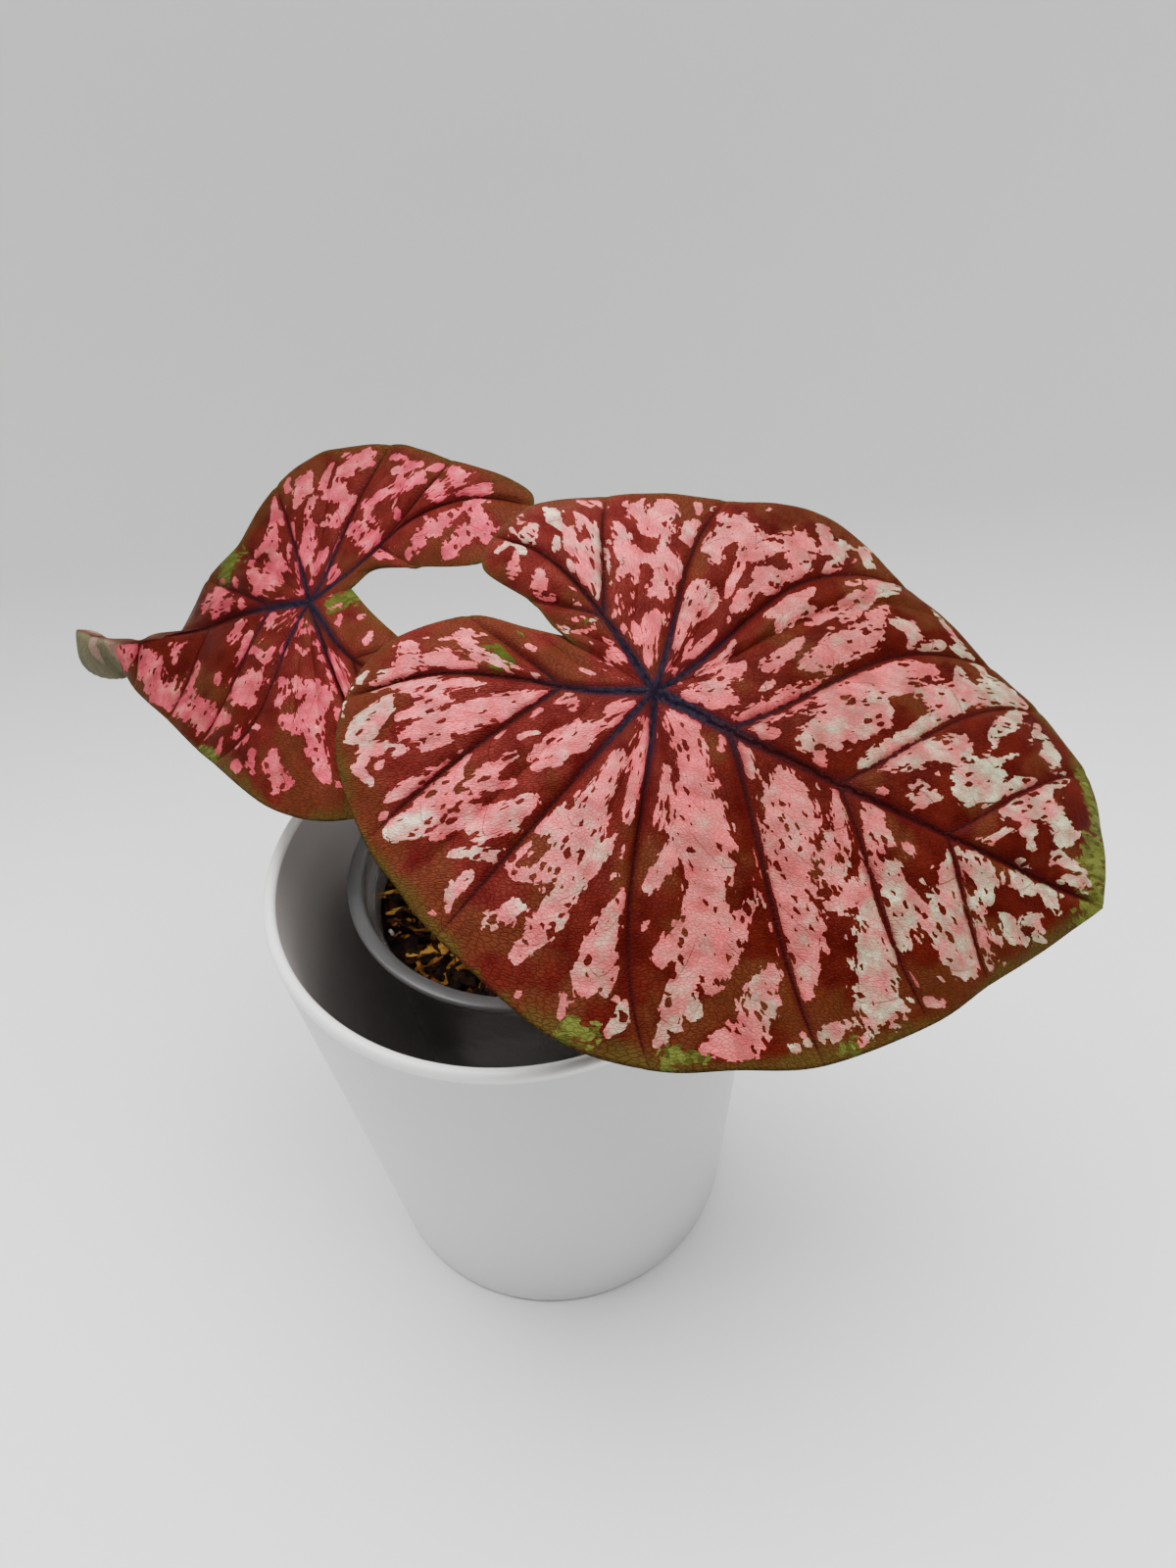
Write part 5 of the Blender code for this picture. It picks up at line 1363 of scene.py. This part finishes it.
def column(leaf, half, station, rows):
    """Points of one column from the spine to the margin, and its run of secondary veins."""
    place, root, margin, bow = station
    spine = on_smooth_line(leaf["midrib"] if root >= 0 else half["basal"], abs(root))
    chord = (margin - spine)[:2]
    length = math.hypot(*chord)
    sideways = np.array((-chord[1], chord[0])) * half["side"] / max(length, 0.01)
    points = spine + (margin - spine) * rows[:, None]
    points[:, 2] = spine[2] + (margin[2] - spine[2]) * rows ** DROOP
    points[:, :2] += sideways * (bow * BOW_SCALE * rows ** 2 * (1 - rows))[:, None]
    # 1 on a rib and 0 halfway to the next one.
    beside = abs(2 * (place - math.floor(place)) - 1)
    swelling = (1 - beside ** 2) * min(1, length / QUILTED_CHORD)
    swelling *= np.sin(math.pi * rows) ** SWELL_POWER
    swelling *= np.clip(np.hypot(points[:, 0], points[:, 1]) / QUILTED_REACH, 0, 1)
    rise = SECONDARY_RISE * (1 - beside ** SECONDARY_CURVE)
    secondary = rows * length / SECONDARY_SPACING - rise
    ripple = 0.5 - 0.5 * np.cos(2 * math.pi * secondary)
    points[:, 2] += swelling * (QUILTING + SMALL_QUILTING * ripple)
    return points, secondary


def vein_lines(leaf, rows):
    """Each main vein as its points and its half width at each of them, all in millimetres."""
    steps = np.linspace(0, 1, VEIN_STEPS)
    midrib = np.array([on_smooth_line(leaf["midrib"], t) for t in steps])
    size = leaf["vein_size"]
    yield midrib, size * np.interp(steps, (0, 1), MIDRIB_WIDTHS)
    for half in leaf["halves"]:
        basal = np.array([on_smooth_line(half["basal"], t) for t in steps])
        yield basal, size * np.interp(steps, (0, 1), BASAL_WIDTHS)
        for rib in half["ribs"]:
            if rib[5] > 0:
                station = (0, rib[0], np.array(rib[1:4], float), rib[4])
                widths = size * np.interp(rows, LATERAL_STOPS, LATERAL_WIDTHS)
                yield column(leaf, half, station, rows)[0], widths * rib[5] ** LATERAL_POWER


def beyond_veins(points, veins):
    """How far each point lies outside the nearest main vein, below 0 within it."""
    nearest = np.full(len(points), 1e3)
    for line, widths in veins:
        for a, b, width_a, width_b in zip(line, line[1:], widths, widths[1:]):
            step = b - a
            share = np.clip((points - a) @ step / max(step @ step, 1e-9), 0, 1)
            away = np.linalg.norm(points - a - share[:, None] * step, axis=1)
            nearest = np.minimum(nearest, away - width_a - (width_b - width_a) * share)
    return nearest


# How far to each side of a stroke's point the way between ribs is measured, in ribs, and the least
# that it counts for, in millimetres.
STROKE_PROBE = 0.2
LEAST_SPACING = 4.0


def strokes_field(strokes, places, rows, points):
    """Tapered strokes on a half blade: 1 on a stroke's line and 0.5 on its outline, and the tone of
    the strokes near each point."""
    flat = points[:, :, :2]

    def on_blade(rib, row):
        """Where a rib and a row cross, between the points of the grid."""
        i = np.interp(rib, places, np.arange(len(places)))
        j = np.interp(row, rows, np.arange(len(rows)))
        low_i, low_j = min(int(i), len(places) - 2), min(int(j), len(rows) - 2)
        u, v = i - low_i, j - low_j
        near = flat[low_i, low_j] * (1 - v) + flat[low_i, low_j + 1] * v
        far = flat[low_i + 1, low_j] * (1 - v) + flat[low_i + 1, low_j + 1] * v
        return near * (1 - u) + far * u

    best = np.zeros(flat.shape[:2])
    tones = np.full(flat.shape[:2], 1e-9)
    weights = np.full(flat.shape[:2], 2e-9)
    for tone, stroke in strokes:
        ends = []
        for rib, row, wide in stroke:
            one_side, other_side = on_blade(rib - STROKE_PROBE, row), on_blade(rib + STROKE_PROBE, row)
            spacing = np.linalg.norm(other_side - one_side) / (2 * STROKE_PROBE)
            ends.append((on_blade(rib, row), wide * max(spacing, LEAST_SPACING)))
        for (start, start_width), (end, end_width) in zip(ends, ends[1:]):
            run = end - start
            share = np.clip((flat - start) @ run / max(run @ run, 1e-6), 0, 1)
            away = np.linalg.norm(flat - start - share[:, :, None] * run, axis=2)
            field = 1 - 0.5 * away / (start_width + (end_width - start_width) * share)
            best = np.maximum(best, field)
            weight = np.clip(field, 0, 1) ** 8
            tones += weight * tone
            weights += weight
    return best, tones / weights


def beside_line(distance, width):
    """1 on a line, falling off to both sides of it."""
    return np.exp(-(np.maximum(distance, 0) / width) ** 2)


def half_blade(leaf, half, number, veins):
    """One half of a blade as a shaped grid that holds its fields as attributes."""
    rows = np.linspace(0, 1, ROWS + 1)
    rows = rows - ROW_EASE * np.sin(2 * math.pi * rows)
    made = list(stations(half["ribs"]))
    shaped = [column(leaf, half, station, rows) for station in made]
    points = np.array([part[0] for part in shaped])
    secondary = np.array([part[1] for part in shaped])
    flat = points.reshape(-1, 3)
    hub = np.linalg.norm(points, axis=2)
    beyond = beyond_veins(flat, veins).reshape(hub.shape)
    edge = np.min(np.linalg.norm(points[:, :, None] - points[None, None, ::2, -1], axis=3), axis=2)
    middle = points[:, int(ROWS * MEASURED_ROW)]
    lateral = np.cumsum(np.linalg.norm(np.diff(middle, axis=0, prepend=middle[:1]), axis=1))
    lateral = np.repeat(lateral[:, None], len(rows), 1) + PATTERN_SHIFT * number
    along = np.linalg.norm(np.diff(points, axis=1, prepend=points[:, :1]), axis=2)
    along = np.cumsum(along, axis=1)

    sway = np.array([noise.noise(Vector(p) / SWAY_LENGTH + Vector((0, 0, 5))) for p in flat])
    flutter = np.array([noise.noise(Vector(p) / FLUTTER_LENGTH + Vector((0, 0, 9))) for p in flat])
    free = np.clip(hub / STIFF_REACH, 0, 1) ** 2
    points[:, :, 2] += SWAY * free * sway.reshape(hub.shape)
    points[:, :, 2] += FLUTTER * free * rows ** FLUTTER_POWER * flutter.reshape(hub.shape)
    groove = beside_line(beyond, GROOVE_WIDTH) * np.clip(hub / GROOVE_START, 0, 1)
    points[:, :, 2] -= VEIN_GROOVE * groove
    ridge = beside_line(beyond, RIDGE_WIDTH) * np.clip(-beyond, *RIDGE_HEIGHTS)
    thickness = SHEET_THICKNESS + VEIN_RELIEF * ridge
    thickness = np.minimum(thickness, EDGE_THICKNESS + EDGE_THICKENING * edge)
    hub_share = np.clip(1 - np.maximum(0, hub - HUB_RADIUS) / HUB_FILLET, 0, 1)
    thickness += (HUB_THICKNESS - thickness) * hub_share

    places = np.array([station[0] for station in made])
    patch, tone = strokes_field(half["patches"], places, rows, points)
    lime, bright = strokes_field(half["limes"], places, rows, points)
    bpy.ops.object.select_all(action="DESELECT")
    bpy.ops.mesh.primitive_grid_add(
        x_subdivisions=len(rows) - 1, y_subdivisions=len(made) - 1, size=1.0
    )
    piece = new_piece("half_blade")
    piece.data.vertices.foreach_set("co", points.reshape(-1))
    fields = {
        # the way across the ribs and along them, and the run of secondary veins
        "flow": (lateral, along, secondary),
        # how far it is from the main veins, the margin and the hub
        "reach": (beyond, edge, hub),
        # pale strokes and green strokes, and the pale ones' tone
        "marks": (patch, lime, tone),
        # the place on the flat blade, and the green strokes' tone
        "plan": (points[:, :, 0], points[:, :, 1], bright),
    }
    for name, values in fields.items():
        attribute = piece.data.attributes.new(name, "FLOAT_VECTOR", "POINT")
        attribute.data.foreach_set("vector", np.stack(values, axis=-1).reshape(-1).astype(np.float32))
    group = piece.vertex_groups.new(name="thickness")
    for i, share in enumerate((thickness / HUB_THICKNESS).reshape(-1)):
        group.add([i], float(share), "REPLACE")
    if half["side"] < 0:
        piece.data.flip_normals()
    return piece


# Skin of the leaves
# The upper side is satin and brick red. Small tiles break its pale patches up between the dark
# veins, with a few green spots, and the margin is olive on one side. The dull grey-green under
# side lets the same pattern show through.

# In millimetres on the blade.
TILE = 0.95
VEINLET = 0.95
# A tile is longer along the veins than across them.
TILE_STRETCH = (1.0, 0.7, 1.0)
# The clouds that decide which tiles are pale: stretch, detail and weight, from large to small.
TILE_CLOUDS = (
    ((0.17, 0.07, 0.0), 1.0, 0.35),
    ((0.5, 0.25, 0.0), 1.0, 0.75),
    ((1.2, 0.6, 0.0), 2.0, 0.35),
)
PATCH_LIMIT = 0.42
NET_LINE = (0.02, 0.14)
NET_SHOWS = 0.42
NET_RELIEF = 0.00008
UNDER_NET_RELIEF = 0.0001
SATIN = 0.035
GROUND_NEAR = ((0.096, 0.007, 0.006), (0.156, 0.021, 0.016))
# The ground darkened with painted shade, used towards the tip.
GROUND_TIP_SHADE = ((0.048, 0.002, 0.001), (0.082, 0.007, 0.003))
BROWN = (0.095, 0.032, 0.010)
OLIVE = (0.070, 0.046, 0.010)
BLUSH = (0.69, 0.160, 0.165)
CREAM = (0.60, 0.34, 0.265)
WHITE = (0.70, 0.57, 0.41)
# Painted shade: the tint that darkens the pale patches towards the tip.
TIP_SHADE_TINT = (0.60, 0.73, 0.64)
LIME = ((0.046, 0.052, 0.008), (0.130, 0.160, 0.030))
DEEP_GREEN = ((0.018, 0.050, 0.003), (0.050, 0.105, 0.008))
LIME_NET = (0.045, 0.030, 0.008)
NET = (0.035, 0.003, 0.002)
PALE_NET = (0.26, 0.065, 0.05)
SECONDARY = (0.060, 0.004, 0.004)
HALO = (0.060, 0.004, 0.004)
HUB_HALO = (0.034, 0.004, 0.010)
VEIN_NEAR = ((0.008, 0.005, 0.014), (0.021, 0.013, 0.025))
VEIN_FAR = (0.026, 0.002, 0.002)
EDGE_LINE = (0.026, 0.016, 0.005)
UNDERSIDE = ((0.095, 0.088, 0.046), (0.15, 0.135, 0.075))
UNDER_PATCH = (0.34, 0.20, 0.155)
UNDER_NET = (0.045, 0.022, 0.014)
UNDER_VEIN = ((0.04, 0.02, 0.03), (0.10, 0.04, 0.03))


class LeafSkin(Finish):
    """The finish of one side of a blade, with the fields that its mesh carries."""

    def __init__(self, name, roughness):
        super().__init__(name, Roughness=roughness, Specular_IOR_Level=SATIN)
        self.vein, self.edge, self.hub = self.field("reach")
        self.patch, self.lime, self.tone = self.field("marks")
        self.ahead, self.across, self.bright = self.field("plan")
        self.plan = self.join(self.ahead, self.across)

    def over(self, scale, detail):
        """A cloud over the flat blade, scale in humps per millimetre."""
        return self.cloud(scale, detail, self.plan, "2D")

    def grey(self, value):
        return self.join(value, value, value)

    def veinlets(self, where):
        """How far a point is from the net of finest veins."""
        return self.cells(1 / VEINLET, where, "2D", "DISTANCE_TO_EDGE").outputs["Distance"]


def pale_tiles(skin, flow):
    """Where the pale is, from 0 to 1: the strokes, broken into tiles along the veins, with rays round
    the hub and red flecks. Also each tile's chance and its two finer clouds, for the green spots."""
    tile = skin.cells(1 / TILE, skin.vector("MULTIPLY", flow, TILE_STRETCH), "2D")
    spot = skin.vector("DIVIDE", tile.outputs["Position"], TILE_STRETCH)
    chance, lit, bare = skin.channels(tile.outputs["Color"])
    amount = skin.patch
    clouds = []
    for stretch, detail, weight in TILE_CLOUDS:
        cloud = skin.cloud(1.0, detail, skin.vector("MULTIPLY", spot, stretch), "2D")
        amount = skin.vary(amount, cloud, weight)
        clouds.append(cloud)
    amount = skin.vary(amount, chance, 0.12)
    amount = skin.calc("MULTIPLY_ADD", skin.step(lit, 0.96, 0.97), 0.28, amount)
    amount = skin.calc("MULTIPLY_ADD", skin.step(bare, 0.965, 0.975), -0.9, amount)
    angle = skin.calc("ARCTAN2", skin.across, skin.ahead)
    rays = skin.join(skin.calc("MULTIPLY", angle, 7.0), skin.calc("MULTIPLY", skin.hub, 0.13))
    rays = skin.calc("SUBTRACT", skin.cloud(1.0, 3.0, rays, "2D"), 0.42)
    amount = skin.calc("MULTIPLY_ADD", rays, skin.step(skin.hub, 7.0, 24.0, 1.7, 0.0), amount)
    # Little pale on the hub, on the veins and along the margin.
    for distance, near, far, loss in (
        (skin.hub, 3.5, 6.5, 0.6),
        (skin.vein, 0.1, 0.9, 0.5),
        (skin.edge, 0.8, 2.6, 0.5),
    ):
        amount = skin.calc("SUBTRACT", amount, skin.step(distance, near, far, loss, 0.0))
    pale = skin.step(amount, PATCH_LIMIT, PATCH_LIMIT + 0.03)
    fleck = skin.cells(1.0, skin.vector("MULTIPLY", flow, (0.55, 0.3, 0.0)), "2D")
    size = skin.calc("POWER", skin.channels(fleck.outputs["Color"])[0], 3.5)
    size = skin.calc("MULTIPLY", size, skin.step(skin.over(0.09, 2.0), 0.4, 0.6, 0.12, 0.5))
    outside = skin.calc("SUBTRACT", fleck.outputs["Distance"], size)
    pale = skin.calc("MULTIPLY", pale, skin.step(outside, -0.02, 0.03))
    return pale, chance, clouds[1], clouds[2]


def red_ground(skin, mottle, tip_shade, olive_side, olive_share):
    """Brick red, with painted shade darkening it towards the tip, brown places and an olive margin."""
    near = skin.two_tone(mottle, *GROUND_NEAR)
    far = skin.two_tone(mottle, *GROUND_TIP_SHADE)
    # Painted shade: the ground darkens towards the tip.
    ground = skin.mix(tip_shade, near, far)
    on_side = skin.step(skin.calc("MULTIPLY", skin.across, olive_side), 20.0, 45.0)
    brown = skin.calc("ADD", skin.over(0.07, 3.0), skin.step(skin.edge, 0.0, 16.0, 0.14, 0.0))
    brown = skin.calc("MULTIPLY_ADD", on_side, 0.06, brown)
    ground = skin.mix(skin.step(brown, 0.52, 0.70, 0.0, 0.55), ground, BROWN)
    band = skin.vary(skin.edge, skin.over(0.05, 2.0), 9.0)
    band = skin.vary(band, mottle, 4.0)
    olive = skin.calc("MAXIMUM", on_side, skin.step(skin.ahead, 60.0, 90.0))
    olive = skin.calc("MULTIPLY_ADD", olive, 0.95 - olive_share, olive_share)
    olive = skin.calc("MULTIPLY", skin.step(band, 0.2, 3.8, 0.95, 0.0), olive)
    ground = skin.mix(olive, ground, OLIVE)
    return skin.mix(skin.step(skin.edge, 0.4, 1.3, 0.7, 0.0), ground, OLIVE)


def patch_tone(skin, ribs, mottle, tip_shade, pink, paleness):
    """Pink to white by the strokes' tones, with painted fold shade in bars across the way of the ribs,
    varied by the mottling, and painted shade that dulls it towards the tip."""
    whiten = skin.calc("SUBTRACT", skin.over(0.22, 4.0), 0.53)
    whiten = skin.calc("MULTIPLY_ADD", whiten, 1.3, skin.calc("MULTIPLY", skin.tone, paleness))
    light = skin.shade(whiten, (0.1, pink), (0.5, BLUSH), (0.8, CREAM), (1.0, WHITE))
    # Painted shade of folds: light and dark bars across the ribs, scaled further by the mottling.
    fold_cloud = skin.cloud(1.0, 3.0, skin.vector("MULTIPLY", ribs, (0.09, 0.42, 0.0)), "2D")
    fold_shade_and_mottle = skin.step(fold_cloud, 0.3, 0.7, 0.86, 1.12)
    fold_shade_and_mottle = skin.calc("MULTIPLY", fold_shade_and_mottle, skin.step(mottle, 0.32, 0.66, 0.86, 1.34))
    light = skin.tint(light, skin.grey(fold_shade_and_mottle))
    # Painted shade: the pale darkens towards the tip.
    return skin.mix(tip_shade, light, skin.tint(light, TIP_SHADE_TINT))


def green_tone(skin, mottle, tiny, net):
    """The green spots' colour, deep or yellow green by their tones, with a brown net."""
    deep = skin.two_tone(mottle, *DEEP_GREEN)
    lime = skin.shade(tiny, (0.35, LIME[0]), (0.65, LIME[1]))
    green = skin.mix(skin.bright, deep, lime)
    return skin.mix(skin.step(net, *NET_LINE, 0.45, 0.0), green, LIME_NET)


def secondary_veins(skin, secondary):
    """Where the thin secondary veins show, at the whole numbers of their run."""
    fold = skin.calc("SUBTRACT", skin.calc("FRACT", secondary), 0.5)
    fold = skin.calc("SUBTRACT", 0.5, skin.calc("ABSOLUTE", fold))
    line = skin.step(fold, 0.008, 0.03, 1.0, 0.0)
    line = skin.calc("MULTIPLY", line, skin.step(skin.over(0.12, 2.0), 0.4, 0.6))
    return skin.calc("MULTIPLY", line, skin.step(skin.edge, 3.0, 8.0, 0.0, 0.55))


def with_main_veins(skin, colour):
    """Paints the main veins over a colour, with dark red sides: streaked violet round the hub, dark
    red further out."""
    beside = skin.step(skin.vein, 0.0, 1.8, 0.6, 0.0)
    beside = skin.calc("MULTIPLY", beside, skin.step(skin.edge, 0.0, 12.0))
    colour = skin.mix(beside, colour, skin.mix(skin.step(skin.hub, 6.0, 30.0), HUB_HALO, HALO))
    streaks = skin.over(0.9, 3.0)
    faded = skin.step(skin.vary(skin.hub, streaks, 16.0), 7.0, 30.0)
    vein_colour = skin.mix(faded, skin.two_tone(streaks, *VEIN_NEAR), VEIN_FAR)
    on_vein = skin.step(skin.vary(skin.vein, streaks, 0.5), -0.25, 0.4, 1.0, 0.0)
    on_vein = skin.calc("MULTIPLY", on_vein, skin.step(skin.edge, 0.0, 6.0, 0.2, 1.0))
    return skin.mix(on_vein, colour, vein_colour)


def upper_skin(name, pink, paleness, olive_side, olive_share):
    """Red ground, pale mosaic, net of veinlets, secondary veins, green spots, main veins, edge."""
    skin = LeafSkin(name, 0.42)
    lateral, along, secondary = skin.field("flow")
    mottle = skin.over(0.16, 4.0)
    # Painted shade: how far the blade is darkened towards the tip, where less light falls.
    tip_shade = skin.step(skin.calc("MULTIPLY_ADD", skin.hub, 0.35, skin.ahead), -20.0, 45.0)
    drift = skin.calc("SUBTRACT", skin.over(0.7, 2.0), 0.5)
    flow = skin.join(skin.calc("ADD", lateral, drift), skin.calc("ADD", along, drift))
    pale, chance, small, tiny = pale_tiles(skin, flow)
    ground = red_ground(skin, mottle, tip_shade, olive_side, olive_share)
    light = patch_tone(skin, skin.join(lateral, along), mottle, tip_shade, pink, paleness)
    colour = skin.mix(pale, ground, light)

    net = skin.veinlets(skin.vector("MULTIPLY", flow, (0.85, 1.3, 0.0)))
    islet = skin.grey(skin.step(net, 0.0, 0.4, 0.86, 1.08))
    off_pale = skin.calc("MULTIPLY_ADD", pale, -0.55, 1.0)
    colour = skin.tint(colour, skin.mix(off_pale, (1.0, 1.0, 1.0), islet))
    netting = skin.step(net, *NET_LINE, NET_SHOWS, 0.0)
    colour = skin.mix(netting, colour, skin.mix(pale, NET, PALE_NET))
    line = secondary_veins(skin, secondary)
    colour = skin.mix(line, colour, SECONDARY)

    green = skin.calc("MULTIPLY_ADD", chance, 0.5, skin.calc("MULTIPLY_ADD", small, 0.4, skin.lime))
    under_pale = skin.calc("MULTIPLY_ADD", pale, -0.85, 0.85)
    green = skin.calc("MULTIPLY", skin.step(green, 0.94, 1.0), under_pale)
    colour = skin.mix(green, colour, green_tone(skin, mottle, tiny, net))
    colour = with_main_veins(skin, colour)
    colour = skin.mix(skin.step(skin.edge, 0.1, 0.4, 1.0, 0.0), colour, EDGE_LINE)

    relief = skin.calc("MULTIPLY_ADD", line, -0.6, skin.step(net, 0.0, 0.2))
    rough = skin.calc("MULTIPLY_ADD", pale, 0.08, skin.step(mottle, 0.3, 0.7, 0.36, 0.46))
    skin.paint(Base_Color=colour, Roughness=rough, Normal=skin.bump(relief, NET_RELIEF))
    return skin.material


def under_skin(name):
    """Dull grey green, with the pattern and the raised purple-brown veins showing through."""
    skin = LeafSkin(name, 0.55)
    ground = skin.two_tone(skin.over(0.18, 4.0), *UNDERSIDE)
    shown = skin.step(skin.vary(skin.patch, skin.over(0.3, 3.0), 0.9), 0.35, 0.65, 0.0, 0.7)
    colour = skin.mix(shown, ground, UNDER_PATCH)
    net = skin.veinlets(skin.plan)
    colour = skin.mix(skin.step(net, 0.02, 0.12, 0.4, 0.0), colour, UNDER_NET)
    vein_colour = skin.mix(skin.step(skin.hub, 6.0, 45.0), *UNDER_VEIN)
    colour = skin.mix(skin.step(skin.vein, -0.3, 0.5, 1.0, 0.0), colour, vein_colour)
    relief = skin.bump(skin.step(net, 0.0, 0.25, 1.0, 0.0), UNDER_NET_RELIEF)
    skin.paint(Base_Color=colour, Normal=relief)
    return skin.material


# Each blade's halves are joined along the midrib and thickened downwards, with the upper skin on
# top and the under skin below.
for leaf in (FRONT_LEAF, BACK_LEAF):
    veins = list(vein_lines(leaf, np.linspace(0, 1, VEIN_ROWS)))
    sides = [half_blade(leaf, half, i, veins) for i, half in enumerate(leaf["halves"])]
    bpy.ops.object.select_all(action="DESELECT")
    for piece in sides:
        piece.select_set(True)
    bpy.context.view_layer.objects.active = sides[0]
    bpy.ops.object.join()
    blade = new_piece(leaf["name"] + "_leaf_blade")
    blade.data.transform(blade_frame(leaf))
    bpy.ops.object.mode_set(mode="EDIT")
    bpy.ops.mesh.select_all(action="SELECT")
    bpy.ops.mesh.remove_doubles(threshold=MERGE)
    bpy.ops.object.mode_set(mode="OBJECT")
    bpy.ops.object.shade_smooth()
    sheet = blade.modifiers.new("thickness", "SOLIDIFY")
    sheet.thickness = HUB_THICKNESS * MM
    sheet.offset = -1.0
    sheet.vertex_group = "thickness"
    sheet.material_offset = 1
    blade.data.materials.append(upper_skin(leaf["name"] + "_upper_skin", *leaf["colouring"]))
    blade.data.materials.append(under_skin(leaf["name"] + "_under_skin"))
    bpy.ops.object.modifier_apply(modifier=sheet.name)
    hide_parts(leaf["name"] + "_blade")
    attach(blade, "root")
